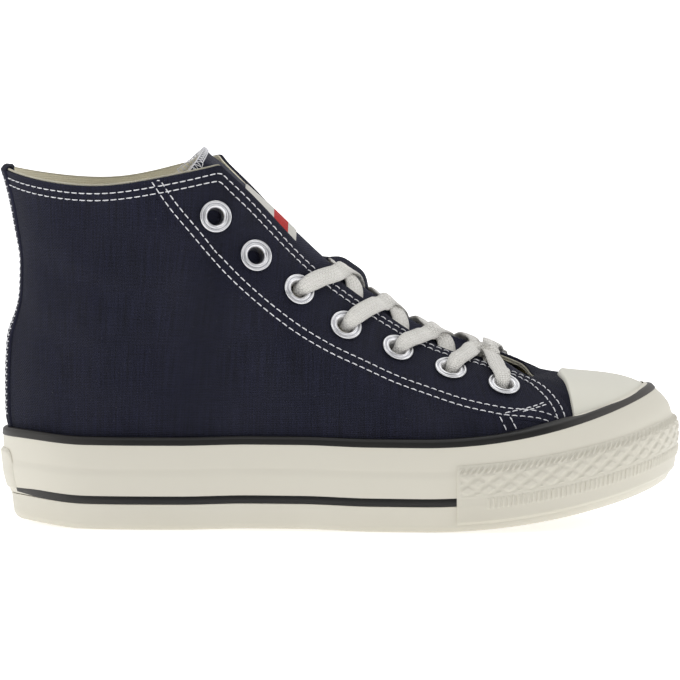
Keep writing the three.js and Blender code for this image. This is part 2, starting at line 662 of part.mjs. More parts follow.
// The lowest, straight bar, which lies over the crossing behind it.
function laceBar() {
  const [a, b] = ["lateral", "medial"].map((side) => eyelet(side, EYELETS.length - 1));
  const edgeX = a.at.x - BAR_BEHIND;
  const overCrossing = LACE.clear + LACE.thickness + 5 * GAP;
  const middle = onTongue(edgeX, overCrossing);
  return flatCord([...overEyestay(a, edgeX), middle, ...overEyestay(b, edgeX).reverse()]);
}
addPiece("lace_bar", laceBar(), cotton);

export default shoe;
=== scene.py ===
import math

import bmesh
import bpy
import numpy as np
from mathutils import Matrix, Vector


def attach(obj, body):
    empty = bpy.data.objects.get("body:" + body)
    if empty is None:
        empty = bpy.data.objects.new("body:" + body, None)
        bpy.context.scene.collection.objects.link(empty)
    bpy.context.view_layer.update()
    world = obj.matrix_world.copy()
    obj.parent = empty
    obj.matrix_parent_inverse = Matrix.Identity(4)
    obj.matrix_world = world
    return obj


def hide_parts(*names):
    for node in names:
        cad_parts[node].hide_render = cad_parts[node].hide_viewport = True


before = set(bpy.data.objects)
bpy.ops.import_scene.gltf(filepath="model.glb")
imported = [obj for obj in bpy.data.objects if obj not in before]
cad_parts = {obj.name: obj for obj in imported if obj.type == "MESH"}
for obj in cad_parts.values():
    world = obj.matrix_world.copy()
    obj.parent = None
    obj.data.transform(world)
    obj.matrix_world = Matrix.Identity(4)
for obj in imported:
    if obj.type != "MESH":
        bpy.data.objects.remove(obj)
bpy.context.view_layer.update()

MM = 0.001  # the shoe's sizes are in millimetres until a mesh is made, the studio's are in metres

# ---------------------------------------------------------------- studio
# A plain pale floor under the shoe, a white room and three soft lamps. The camera looks straight at the
# lateral side from a little above, through a long lens.
CAMERA_ELEVATION = math.radians(4.5)
CAMERA_DISTANCE = 3.2
FRAME_WIDTH = 0.26826  # what the camera sees across, at the shoe
LOOK_AT = Vector((0.0002, 0, 0.0717))
# From and to which place, and how strong the light is at both: along the room's depth, and away from
# the shoe.
ROOM_LIGHT = (-1, -0.15, 0.12, 0.72)
FLOOR_GLOW = (0.1, 1.2, 0.5, 0.98)
ROOM_SEEN = 1.1  # how bright the walls themselves look
FLOOR = {"half": 6, "drop": 0.0004, "tones": (0.86, 0.9), "grain": 40}
LAMPS = [
    {"name": "key", "place": (-0.3, -1.5, 1.9), "size": 1.3, "watts": 7},
    {"name": "toe_side", "place": (1.8, -0.5, 0.8), "size": 1.0, "watts": 4},
    {"name": "heel_side", "place": (-1.8, -0.6, 0.8), "size": 1.0, "watts": 4},
    {"name": "top", "place": (0.1, 0.3, 2.0), "size": 1.2, "watts": 5},
]


def make_camera():
    data = bpy.data.cameras.new("camera")
    data.lens = data.sensor_width * CAMERA_DISTANCE / FRAME_WIDTH
    data.clip_start, data.clip_end = 0.1, 20
    camera = bpy.data.objects.new("camera", data)
    bpy.context.collection.objects.link(camera)
    back = Vector((0, -math.cos(CAMERA_ELEVATION), math.sin(CAMERA_ELEVATION)))
    camera.location = LOOK_AT + back * CAMERA_DISTANCE
    camera.rotation_euler = (-back).to_track_quat("-Z", "Y").to_euler()
    bpy.context.scene.camera = camera


def make_lamp(name, place, size, watts):
    data = bpy.data.lights.new(name, "AREA")
    data.shape, data.size, data.energy = "DISK", size, watts
    lamp = bpy.data.objects.new(name, data)
    bpy.context.collection.objects.link(lamp)
    lamp.location = place
    lamp.rotation_euler = (LOOK_AT - lamp.location).to_track_quat("-Z", "Y").to_euler()


def new_material(name):
    material = bpy.data.materials.new(name)
    material.use_nodes = True
    return material, material.node_tree.nodes, material.node_tree.links


def map_range(nodes, values):
    """A Map Range node set to (from min, from max, to min, to max)."""
    node = nodes.new("ShaderNodeMapRange")
    for socket, value in zip(("From Min", "From Max", "To Min", "To Max"), values):
        node.inputs[socket].default_value = value
    return node


def make_floor():
    material, nodes, links = new_material("floor_paper")
    shader = nodes["Principled BSDF"]
    grain = nodes.new("ShaderNodeTexNoise")
    grain.inputs["Scale"].default_value = FLOOR["grain"]
    tone = nodes.new("ShaderNodeValToRGB")
    for element, grey in zip(tone.color_ramp.elements, FLOOR["tones"]):
        element.color = (grey, grey, grey, 1)
    links.new(grain.outputs["Fac"], tone.inputs["Fac"])
    links.new(tone.outputs["Color"], shader.inputs["Base Color"])
    shader.inputs["Roughness"].default_value = 0.9
    # The paper glows with painted light of its own, brighter away from the shoe.
    away = nodes.new("ShaderNodeVectorMath")
    away.operation = "LENGTH"
    links.new(nodes.new("ShaderNodeTexCoord").outputs["Object"], away.inputs[0])
    glow = map_range(nodes, FLOOR_GLOW)
    links.new(away.outputs["Value"], glow.inputs["Value"])
    links.new(glow.outputs["Result"], shader.inputs["Emission Strength"])
    shader.inputs["Emission Color"].default_value = (1, 1, 1, 1)
    half = FLOOR["half"]
    mesh = bpy.data.meshes.new("floor")
    corners = [(-half, -half, 0), (half, -half, 0), (half, half, 0), (-half, half, 0)]
    mesh.from_pydata(corners, [], [(0, 1, 2, 3)])
    mesh.materials.append(material)
    floor = bpy.data.objects.new("floor", mesh)
    bpy.context.collection.objects.link(floor)
    floor.location.z = -FLOOR["drop"]


def make_room():
    world = bpy.data.worlds.new("room")
    bpy.context.scene.world = world
    world.use_nodes = True
    nodes, links = world.node_tree.nodes, world.node_tree.links
    # White walls, darker behind the camera.
    towards = nodes.new("ShaderNodeSeparateXYZ")
    links.new(nodes.new("ShaderNodeTexCoord").outputs["Generated"], towards.inputs["Vector"])
    walls = map_range(nodes, ROOM_LIGHT)
    walls.interpolation_type = "SMOOTHSTEP"
    links.new(towards.outputs["Y"], walls.inputs["Value"])
    strength = nodes.new("ShaderNodeMix")
    strength.inputs["B"].default_value = ROOM_SEEN
    links.new(nodes.new("ShaderNodeLightPath").outputs["Is Camera Ray"], strength.inputs["Factor"])
    links.new(walls.outputs["Result"], strength.inputs["A"])
    links.new(strength.outputs["Result"], nodes["Background"].inputs["Strength"])
    nodes["Background"].inputs["Color"].default_value = (1, 1, 1, 1)
    bpy.context.scene.view_settings.view_transform = "Standard"


make_camera()
for lamp in LAMPS:
    make_lamp(**lamp)
make_floor()
make_room()

# ---------------------------------------------------------------- outsole
# The walking sole: off-white vulcanised rubber, moulded with cross grooves and fine zigzag ribs, rounded at
# the heel, and cemented under the platform. Its outline is the last's, which every piece follows.
LENGTH = 268
BALL_WIDTH = 96
INSTEP_TOP = 142.4
PLATFORM = 24  # footbed over the floor
HEEL_LIFT = 2
TOE_SPRING_START = 32
TOE_SPRING_RADIUS = 290
ARCH_RISE = 0.6
HEEL_BEVEL = 1.6
# From where to where along the shoe, in millimetres ahead of its middle, each change of shape comes in.
ARCH_STARTS, ARCH_ENDS = (-62, -35), (-15, 12)
HEEL_BEVEL_ENDS, HEEL_LIFT_ENDS = (-128, -100), (-70, 10)
TOE_TURN, HEEL_TURN = (72, 131), (-130, -95)
FOXING_HEIGHT = 35.8
FOXING_TOE_RISE = 5.2
OUTSOLE_SHARE = 0.28  # of the sole wall's height
GAP = 0.3  # between cemented pieces
GROOVE = {"width": 2.6, "depth": 1.4}
GROOVE_PLACES = [*np.linspace(-112, -70, 4), *np.linspace(22, 106, 7)]
RIM = 11  # smooth border round the tread
RIB = {"pitch": 5.2, "depth": 0.5, "zigzag": 13}

# One row for each section of the last, from the toe tip round to the back of the heel. x, topX and topZ are
# shares of the length and of the instep's height, and lateral, medial, topLateral and topMedial of half the
# ball's width. The rest are millimetres: medialUp is how much higher the medial edge is, belly and rise
# place the wall's lower handle outwards of and above the sole's edge, and shoulder and drop its upper
# handle from the top edge.
SECTION_COLUMNS = ["x", "lateral", "medial", "topX", "topLateral", "topMedial", "topZ", "medialUp", "belly",
                   "rise", "shoulder", "drop"]
SECTIONS = [
    [0.987, 0.104, 0.104, 0.575, 0.063, 0.063, 0.405, 0, -3.5, 17, 32, 0],  # toe tip
    [0.908, -0.458, 0.62, 0.567, -0.083, 0.19, 0.405, 0.5, -3.5, 16.5, 29, 0.5],
    [0.769, -0.76, 0.865, 0.549, -0.198, 0.281, 0.411, 2.5, -2, 15.5, 20, 2],
    [0.612, -0.917, 0.969, 0.493, -0.25, 0.313, 0.428, 3.5, -0.5, 18, 16.5, 4],
    [0.433, -0.996, 1, 0.373, -0.25, 0.3, 0.464, 4, 1, 23, 17.5, 6],  # ball
    [0.254, -0.992, 0.958, 0.25, -0.25, 0.29, 0.51, 3, 2, 26, 18, 8],
    [0.075, -0.927, 0.833, 0.097, -0.25, 0.28, 0.605, 2, 3, 32, 18, 12],
    [-0.104, -0.844, 0.729, -0.075, -0.27, 0.29, 0.732, 1, 4, 38, 18, 18],  # instep
    [-0.269, -0.792, 0.688, -0.235, -0.365, 0.365, 0.893, 0.8, 5, 42, 15, 26],
    [-0.388, -0.771, 0.698, -0.335, -0.448, 0.448, 0.985, 1, 5, 45, 9, 34],
    [-0.47, -0.769, 0.715, -0.381, -0.51, 0.51, 0.991, 1.8, 4.5, 45, 6, 36],  # collar's front corner
    [-0.597, -0.76, 0.735, -0.56, -0.652, 0.652, 0.959, -0.5, 3.5, 45, -1, 38],
    [-0.746, -0.694, 0.688, -0.731, -0.656, 0.656, 0.943, -0.5, 3.5, 45, -3, 38],
    [-0.896, -0.469, 0.469, -0.903, -0.427, 0.427, 0.959, 0, 5, 47, -9, 42],
    [-0.991, 0, 0, -0.99, 0, 0, 0.98, 0, 7, 49, -13, 44],  # back of the heel
]
# The sole wall's inset from the outline at shares of its height, along its sides, at the toe and at the heel.
SIDE_SHARES = [0, 0.02, 0.07, 0.28, 0.5, 0.72, 0.84, 0.92, 1]
SIDE_INSETS = {
    "side": [2.5, 1.7, 1.1, 0.2, 0, 0.2, 0.7, 1.1, 1.4],
    "toe": [5, 3, 1.6, 0, 0, 1.8, 4.6, 7.2, 9.3],
    "heel": [6.5, 5.4, 4.3, 3.4, 1.3, 0.4, 0.1, 0, 0.2],
}

# Every section in order on the way round: toe, lateral side, heel, medial side.
last_rows = np.array(SECTIONS + SECTIONS[-2:0:-1], float)
COUNT = len(last_rows)
on_lateral = np.arange(COUNT) <= COUNT // 2


def column(name):
    return last_rows[:, SECTION_COLUMNS.index(name)]


def smooth(start, end, value):
    share = np.clip((np.asarray(value, float) - start) / (end - start), 0, 1)
    return share * share * (3 - 2 * share)


def mix(a, b, share):
    return a + (b - a) * share


def toe_spring(x):
    return np.maximum(0, x - TOE_SPRING_START) ** 2 / (2 * TOE_SPRING_RADIUS)


def bottom_z(x):
    arch = ARCH_RISE * smooth(*ARCH_STARTS, x) * (1 - smooth(*ARCH_ENDS, x))
    return arch + toe_spring(x) + HEEL_BEVEL * (1 - smooth(*HEEL_BEVEL_ENDS, x))


def footbed_z(x):
    return PLATFORM + toe_spring(x) + HEEL_LIFT * (1 - smooth(*HEEL_LIFT_ENDS, x))


def foxing_top_z(x):
    ahead = np.maximum(0, x - TOE_SPRING_START) / 100
    return bottom_z(x) + FOXING_HEIGHT + FOXING_TOE_RISE * ahead ** 2


def hermite(start, slope, end, end_slope, f):
    """A share f of the way along the curve between two points that has these slopes at them."""
    return (start * (1 + 2 * f) * (1 - f) ** 2 + slope * f * (1 - f) ** 2
            + end * f * f * (3 - 2 * f) + end_slope * f * f * (f - 1))


def closed_curve(points):
    """A smooth closed curve through points, as a function of the share of the way round."""
    count = len(points)
    ring = 4 * np.eye(count) + np.roll(np.eye(count), 1, 0) + np.roll(np.eye(count), -1, 0)
    slopes = np.linalg.solve(ring, 3 * (np.roll(points, -1, 0) - np.roll(points, 1, 0)))

    def at(s):
        u = (np.asarray(s, float) % 1.0) * count
        i = np.floor(u).astype(int) % count
        j = (i + 1) % count
        f = (u - np.floor(u))[..., None]
        return hermite(points[i], slopes[i], points[j], slopes[j], f)

    return at


def unit(vectors):
    return vectors / np.maximum(np.linalg.norm(vectors, axis=-1, keepdims=True), 1e-9)


outline = closed_curve(np.column_stack([
    column("x") * LENGTH / 2,
    np.where(on_lateral, column("lateral"), column("medial")) * BALL_WIDTH / 2,
    np.zeros(COUNT),
]))
NEAR = 1e-3  # a small step along the last, for directions


def outward(s):
    along = outline(s + NEAR) - outline(s - NEAR)
    return unit(np.stack([-along[..., 1], along[..., 0], 0 * along[..., 0]], -1))


def outline_at(s, inset, height):
    """Points inset from the outline, at height(x)."""
    s, inset = np.broadcast_arrays(np.asarray(s, float), np.asarray(inset, float))
    points = outline(s) - outward(s) * inset[..., None]
    points[..., 2] = height(points[..., 0])
    return points


def sole_side(s, share, proud=0.0):
    """Points on the sole's wall, share of the way up it, and proud of it."""
    s, share, proud = np.broadcast_arrays(*(np.asarray(v, float) for v in (s, share, proud)))
    x = outline(s)[..., 0]
    toe = smooth(*TOE_TURN, x)
    heel = 1 - smooth(*HEEL_TURN, x)
    inset = {part: np.interp(share, SIDE_SHARES, values) for part, values in SIDE_INSETS.items()}
    inset = inset["side"] * (1 - toe - heel) + inset["toe"] * toe + inset["heel"] * heel
    points = outline(s) - outward(s) * (inset - proud)[..., None]
    x = points[..., 0]
    points[..., 2] = mix(bottom_z(x), foxing_top_z(x), share)
    return points


def quads(rows, columns, closed_rows=False, closed_columns=False):
    """Faces of a sheet of points, row by row, joined round where it closes on itself."""
    r, c = np.meshgrid(np.arange(rows - (not closed_rows)), np.arange(columns - (not closed_columns)),
                       indexing="ij")
    r, c = r.ravel(), c.ravel()
    below, beside = (r + 1) % rows, (c + 1) % columns
    corners = [r * columns + c, below * columns + c, below * columns + beside, r * columns + beside]
    return np.stack(corners, -1)


def make_piece(name, sheets, materials, nodes=(), sharp=35, weld=False):
    """A mesh of several sheets, each (points, faces, cloth lengths or None, material number), that rides on
    the shoe and stands for CAD nodes."""
    points, faces, cloth, numbers, start = [], [], [], [], 0
    for sheet_points, sheet_faces, lengths, number in sheets:
        flat = sheet_points.reshape(-1, 3)
        points.append(flat)
        faces += (np.asarray(sheet_faces) + start).tolist()
        cloth.append(np.zeros((len(flat), 2)) if lengths is None else lengths.reshape(-1, 2))
        numbers += [number] * len(sheet_faces)
        start += len(flat)
    points, cloth = np.concatenate(points) * MM, np.concatenate(cloth) * MM
    mesh = bpy.data.meshes.new(name)
    mesh.from_pydata(points.tolist(), [], faces)
    for material in materials:
        mesh.materials.append(material)
    mesh.polygons.foreach_set("material_index", numbers)
    corners = np.empty(len(mesh.loops), int)
    mesh.loops.foreach_get("vertex_index", corners)
    layer = mesh.uv_layers.new(name="cloth")
    layer.data.foreach_set("uv", cloth[corners].ravel().astype(np.float32))
    if weld:
        weld_points(mesh)
    mesh.shade_smooth()
    mesh.set_sharp_from_angle(angle=math.radians(sharp))
    mesh.validate()
    piece = bpy.data.objects.new(name, mesh)
    bpy.context.collection.objects.link(piece)
    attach(piece, "root")
    if nodes:
        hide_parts(*nodes)
    return piece


def weld_points(mesh):
    work = bmesh.new()
    work.from_mesh(mesh)
    bmesh.ops.remove_doubles(work, verts=work.verts, dist=0.00001)
    bmesh.ops.recalc_face_normals(work, faces=work.faces)
    work.to_mesh(mesh)
    work.free()


def node_group(name, inputs, outputs):
    """An empty shader node group with named sockets. Inputs are {name: default} and outputs {name: kind}."""
    group = bpy.data.node_groups.new(name, "ShaderNodeTree")
    for key, value in inputs.items():
        kind = "NodeSocketColor" if isinstance(value, tuple) else "NodeSocketFloat"
        socket = group.interface.new_socket(key, in_out="INPUT", socket_type=kind)
        socket.default_value = value
    for key, kind in outputs.items():
        group.interface.new_socket(key, in_out="OUTPUT", socket_type=kind)
    return group, group.nodes.new("NodeGroupInput"), group.nodes.new("NodeGroupOutput")


def math_node(tree, operation, *values):
    node = tree.nodes.new("ShaderNodeMath")
    node.operation = operation
    for socket, value in zip(node.inputs, values):
        if isinstance(value, (int, float)):
            socket.default_value = value
        else:
            tree.links.new(value, socket)
    return node.outputs[0]


def mix_colours(tree, share, a, b):
    node = tree.nodes.new("ShaderNodeMix")
    node.data_type = "RGBA"
    for socket, value in ((node.inputs["Factor"], share), (node.inputs[6], a), (node.inputs[7], b)):
        if isinstance(value, (int, float, tuple)):
            socket.default_value = value
        else:
            tree.links.new(value, socket)
    return node.outputs[2]


def noise(tree, scale, detail=2.0, vector=None):
    node = tree.nodes.new("ShaderNodeTexNoise")
    node.inputs["Scale"].default_value = scale
    node.inputs["Detail"].default_value = detail
    if vector is None:
        vector = tree.nodes.new("ShaderNodeTexCoord").outputs["Object"]
    tree.links.new(vector, node.inputs["Vector"])
    return node.outputs["Fac"]


def linear(red, green, blue):
    """An sRGB colour of 0 to 255 as the shader's linear one."""
    shares = [c / 255 for c in (red, green, blue)]
    return (*(((c + 0.055) / 1.055) ** 2.4 if c > 0.04045 else c / 12.92 for c in shares), 1)


GRIME_REACH = (0.0, 0.012, 1.0, 0.25)  # metres up, and how much of it gathers there


def rubber_group():
    """Moulded rubber: cloudy tone, soft grime that gathers low down, and a fine skin."""
    group, given, made = node_group(
        "moulded_rubber",
        {"Colour": (1.0, 1.0, 1.0, 1.0), "Grime colour": (0.5, 0.5, 0.5, 1.0), "Grime": 0.2, "Skin": 0.2},
        {"Colour": "NodeSocketColor", "Roughness": "NodeSocketFloat", "Height": "NodeSocketFloat"})
    cloud = noise(group, 28, 4)
    speck = noise(group, 2600, 2)
    place = group.nodes.new("ShaderNodeSeparateXYZ")
    group.links.new(group.nodes.new("ShaderNodeTexCoord").outputs["Object"], place.inputs[0])
    low = map_range(group.nodes, GRIME_REACH)
    group.links.new(place.outputs["Z"], low.inputs["Value"])
    low_cloud = math_node(group, "MULTIPLY", cloud, low.outputs[0])
    amount = math_node(group, "MULTIPLY", low_cloud, given.outputs["Grime"])
    group.links.new(mix_colours(group, amount, given.outputs["Colour"], given.outputs["Grime colour"]),
                    made.inputs["Colour"])
    group.links.new(math_node(group, "MULTIPLY_ADD", cloud, 0.12, 0.4), made.inputs["Roughness"])
    group.links.new(math_node(group, "MULTIPLY", speck, given.outputs["Skin"]), made.inputs["Height"])
    return group


moulded_rubber = rubber_group()


def use_group(material, group, values):
    """Places a node group in a material with its own values and returns the node."""
    node = material.node_tree.nodes.new("ShaderNodeGroup")
    node.node_tree = group
    for key, value in values.items():
        node.inputs[key].default_value = value
    return node


def add_bump(material, height, distance):
    nodes, links = material.node_tree.nodes, material.node_tree.links
    bump = nodes.new("ShaderNodeBump")
    bump.inputs["Distance"].default_value = distance
    bump.inputs["Strength"].default_value = 1.0
    links.new(height, bump.inputs["Height"])
    links.new(bump.outputs["Normal"], nodes["Principled BSDF"].inputs["Normal"])


def rubber_material(name, colour, grime_colour, grime, gloss):
    material, nodes, links = new_material(name)
    shader = nodes["Principled BSDF"]
    look = use_group(material, moulded_rubber, {
        "Colour": colour, "Grime colour": grime_colour, "Grime": grime, "Skin": 0.5})
    links.new(look.outputs["Colour"], shader.inputs["Base Color"])
    links.new(look.outputs["Roughness"], shader.inputs["Roughness"])
    shader.inputs["Specular IOR Level"].default_value = gloss
    add_bump(material, look.outputs["Height"], RUBBER_SKIN * MM)
    return material


RUBBER_SKIN = 0.02
white_rubber = rubber_material("white_rubber", linear(222, 218, 205), linear(190, 182, 160),
                               grime=0.35, gloss=0.4)


def groove_depth(x, y, border):
    """Depth of the tread below the outsole's face, border millimetres in from its edge."""
    inside = smooth(RIM - 1, RIM + 0.5, border)
    half = GROOVE["width"] / 2
    groove = sum(1 - smooth(half - 0.5, half + 0.3, np.abs(x - place)) for place in GROOVE_PLACES)
    swing = np.abs((y / RIB["zigzag"]) % 1 - 0.5) * RIB["zigzag"]
    ribs = smooth(-0.2, 0.5, np.sin((x + swing) * 2 * math.pi / RIB["pitch"]))
    return inside * np.maximum(GROOVE["depth"] * np.clip(groove, 0, 1), RIB["depth"] * ribs)


OUTSOLE_ROWS = [0, 0.008, 0.02, 0.045, 0.07, 0.14, 0.21, 0.265, OUTSOLE_SHARE]  # up the sole wall
COVER_INSET = 6  # of its top, under the platform
TREAD_INSET = {"heel": 4, "toe": 3}


def make_outsole():
    around, across, cover_across = 800, 72, 8
    s = np.arange(around) / around
    wall_rows = sole_side(s[:, None], np.array(OUTSOLE_ROWS))
    rim = wall_rows[:, -1] - outward(s) * COVER_INSET
    side = np.concatenate([wall_rows, rim[:, None]], 1)
    half = around // 2
    lateral = wall_rows[:half + 1, 0]
    medial = wall_rows[-np.arange(half + 1), 0]
    share = np.linspace(0, 1, across)[None, :, None]
    underside = mix(lateral[:, None], medial[:, None], share)
    width = np.linalg.norm(medial - lateral, axis=1)[:, None]
    border = np.minimum(share[..., 0], 1 - share[..., 0]) * width
    x, y = underside[..., 0], underside[..., 1]
    from_heel, from_toe = x + LENGTH / 2 - TREAD_INSET["heel"], LENGTH / 2 - TREAD_INSET["toe"] - x
    border = np.minimum(border, np.minimum(from_heel, from_toe))
    underside[..., 2] = bottom_z(x) + groove_depth(x, y, border)
    cover = mix(rim[:half + 1, None], rim[-np.arange(half + 1), None],
                np.linspace(0, 1, cover_across)[None, :, None])
    make_piece("outsole_tread", [
        (side, quads(around, side.shape[1], closed_rows=True), None, 0),
        (underside, quads(half + 1, across)[:, ::-1], None, 0),
        (cover, quads(half + 1, cover_across), None, 0),
    ], [white_rubber], ["outsole"], weld=True)


make_outsole()

# ---------------------------------------------------------------- foxing
# The thick platform strip: off-white rubber wrapped once round the lasted upper and cemented to it, with a
# soft moulded step above its middle and a rounded top edge. Two black rubber stripes are inlaid in it.
FEATHER_INSET = 5
STEP_SHARE = 0.63  # height of the moulded step, of the sole wall
STEP = 0.3
CAP_THICKNESS = 1.5
CAP_ROOM = (62, 80)  # from where to where along the shoe the foxing makes room for the cap
FOXING_ROWS = [0.34, 0.4, 0.46, 0.52, 0.57, STEP_SHARE - 0.012, STEP_SHARE + 0.012, 0.68, 0.74, 0.8, 0.86,
               0.9, 0.94, 0.975, 1]
CORE_INSET = 4.7


def control_curves():
    """The four closed curves that steer the upper's wall: sole edge, belly, shoulder and top edge."""
    s = np.arange(COUNT) / COUNT
    out, up = outward(s), np.array([0, 0, 1.0])
    edge = outline_at(s, FEATHER_INSET, lambda x: footbed_z(x) + GAP)
    top = np.column_stack([
        column("topX") * LENGTH / 2,
        np.where(on_lateral, column("topLateral"), column("topMedial")) * BALL_WIDTH / 2,
        column("topZ") * INSTEP_TOP + np.where(on_lateral, 0, column("medialUp")),
    ])
    belly = edge + out * column("belly")[:, None] + up * column("rise")[:, None]
    shoulder = top + out * column("shoulder")[:, None] - up * column("drop")[:, None]
    return [closed_curve(points) for points in (edge, belly, shoulder, top)]


wall_curves = control_curves()


def wall(s, t):
    """Points on the upper's outer face, s of the way round from the toe and t of the way up from the sole."""
    s, t = np.broadcast_arrays(np.asarray(s, float), np.asarray(t, float))
    t = t[..., None]
    weights = ((1 - t) ** 3, 3 * t * (1 - t) ** 2, 3 * t * t * (1 - t), t ** 3)
    return sum(weight * curve(s) for weight, curve in zip(weights, wall_curves))


def wall_normal(s, t):
    t = np.asarray(t, float)
    up = wall(s, np.minimum(1, t + NEAR)) - wall(s, np.maximum(0, t - NEAR))
    return unit(np.cross(up, wall(s + NEAR, t) - wall(s - NEAR, t)))


def wall_at(s, t, offset):
    return wall(s, t) + wall_normal(s, t) * np.asarray(offset, float)[..., None]


def rise_to(s, height):
    """How far up the wall, at each s, its height passes height(x)."""
    steps = np.linspace(0, 1, 161)
    points = wall(np.asarray(s)[:, None], steps[None, :])
    above = points[..., 2] - height(points[..., 0])
    first = np.argmax(above > 0, 1)
    i = np.arange(len(first))
    before, after = above[i, first - 1], above[i, first]
    return steps[first - 1] + (steps[1] - steps[0]) * before / (before - after)


def foxing_inside(s):
    """How far off the upper's wall the foxing's inner face stands: it makes room for the toe cap."""
    return GAP + smooth(*CAP_ROOM, wall(s, 0)[:, 0]) * (CAP_THICKNESS + 2 * GAP)


def make_foxing():
    around = 720
    s = np.arange(around) / around
    low = OUTSOLE_SHARE + GAP / FOXING_HEIGHT
    shares = np.array([low, low + 0.006, *FOXING_ROWS])
    proud = np.where(shares < STEP_SHARE, STEP, 0.0)
    proud[[0, 1, -2, -1]] = [-0.25, STEP, -0.1, -0.7]
    outer = sole_side(s[:, None], shares, proud)
    top = rise_to(s, foxing_top_z)
    inner = wall_at(s[:, None], top[:, None] * np.array([1, 0.9, 0.75, 0.5]), foxing_inside(s)[:, None])
    core = outline_at(s, CORE_INSET, lambda x: mix(bottom_z(x), foxing_top_z(x), low))
    core_top = outline_at(s, CORE_INSET, lambda x: footbed_z(x) - 1)
    ring = np.concatenate([outer, inner, core_top[:, None], core[:, None]], 1)
    make_piece("foxing_strip", [
        (ring, quads(around, ring.shape[1], closed_rows=True, closed_columns=True), None, 0),
    ], [white_rubber], ["foxing"], sharp=40)


make_foxing()

STRIPE_HEIGHT = 2.75  # the stripe along the foxing's top edge
STRIPE_PROUD = 0.3
# The stripe's cross-section: shares of its height, how proud it is there, and how far its top is lifted.
STRIPE_STEPS = [0, 0, 0.12, 0.4, 0.7, 0.9, 1, 1]
STRIPE_FACE = [-0.6, 0.02, STRIPE_PROUD, STRIPE_PROUD, STRIPE_PROUD, 0.12, -0.6, -4.6]
STRIPE_LIFT = [0, 0, 0, 0, 0, 0.1, 0.4, 0.5]
STRIPE_BEHIND_CAP = (88, 93)  # from there on the cap covers its inner edge
LOW_STRIPE = {"from": 10.25, "to": 13.3, "narrower": (-131, -118)}  # the lower stripe, over the outsole
LOW_STRIPE_STEPS = [0, 0, 0.07, 0.93, 1, 1]
LOW_STRIPE_FACE = [-0.6, STEP, STEP + 0.14, STEP + 0.14, STEP, -0.6]
BUMPER_REACH = 12.25 / 76  # of the way round, to each side of the toe tip
LABEL_REACH = 1.3 / 76  # of the way round, to each side of the heel
RUBBED_GREY = linear(84, 80, 77)
# Shares of the shoe's length from the heel, and how much the stripe is rubbed there.
RUBBED = [(0, 0.35), (0.2, 0), (0.8, 0), (1, 1)]


def rub_ends(material):
    """Stripes rubbed grey at the toe and, less, at the heel."""
    tree = material.node_tree
    place = tree.nodes.new("ShaderNodeSeparateXYZ")
    tree.links.new(tree.nodes.new("ShaderNodeTexCoord").outputs["Object"], place.inputs[0])
    rubbed = tree.nodes.new("ShaderNodeValToRGB")
    elements = rubbed.color_ramp.elements
    for share, _ in RUBBED[1:-1]:
        elements.new(share)
    for element, (_, grey) in zip(elements, RUBBED):
        element.color = (grey, grey, grey, 1)
    along = math_node(tree, "MULTIPLY_ADD", place.outputs["X"], 1 / (LENGTH * MM), 0.5)
    tree.links.new(along, rubbed.inputs["Fac"])
    colour = tree.nodes["Principled BSDF"].inputs["Base Color"]
    plain = colour.links[0].from_socket
    tree.links.new(mix_colours(tree, rubbed.outputs["Color"], plain, RUBBED_GREY), colour)


black_rubber = rubber_material("black_rubber", linear(9, 8, 7), linear(34, 32, 30), grime=0.4, gloss=0.45)
rub_ends(black_rubber)


def make_top_stripe():
    around = 720
    s = np.arange(around) / around
    x = outline(s)[:, 0]
    start = 1 - STRIPE_HEIGHT / (foxing_top_z(x) - bottom_z(x))
    ring = sole_side(s[:, None], start[:, None] + (1 - start[:, None]) * np.array(STRIPE_STEPS),
                     np.array(STRIPE_FACE))
    ring[..., 2] += STRIPE_LIFT
    to_canvas = wall_at(s, rise_to(s, foxing_top_z), foxing_inside(s)) + np.array([0, 0, STRIPE_LIFT[-2]])
    ring[:, -1] = mix(to_canvas, ring[:, -1], smooth(*STRIPE_BEHIND_CAP, to_canvas[:, :1]))
    make_piece("top_stripe", [
        (ring, quads(around, len(STRIPE_STEPS), closed_rows=True, closed_columns=True), None, 0),
    ], [black_rubber])


def bar_sheets(ring, lengths=None):
    """A run of closed cross-sections with flat ends."""
    rows, columns = ring.shape[:2]
    end = list(range(columns))
    return [(ring, quads(rows, columns, closed_columns=True), lengths, 0),
            (ring[:1], [end[::-1]], None, 0), (ring[-1:], [end], None, 0)]


def make_low_stripe(name, start, end):
    """Strip inlaid between the bumper and the heel label, narrower where it runs out behind the label."""
    s = np.linspace(start, end, 260)
    x = outline(s)[:, 0]
    height = foxing_top_z(x) - bottom_z(x)
    narrow = 1 - smooth(*LOW_STRIPE["narrower"], x)
    low = LOW_STRIPE["from"] + 0.9 * narrow
    high = LOW_STRIPE["to"] - 0.6 * narrow
    shares = mix(low[:, None], high[:, None], np.array(LOW_STRIPE_STEPS)) / height[:, None]
    ring = sole_side(s[:, None], shares, np.array(LOW_STRIPE_FACE))
    make_piece(name, bar_sheets(ring), [black_rubber], weld=True)


make_top_stripe()
make_low_stripe("low_stripe_lateral", BUMPER_REACH, 0.5 - LABEL_REACH)
make_low_stripe("low_stripe_medial", 0.5 + LABEL_REACH, 1 - BUMPER_REACH)

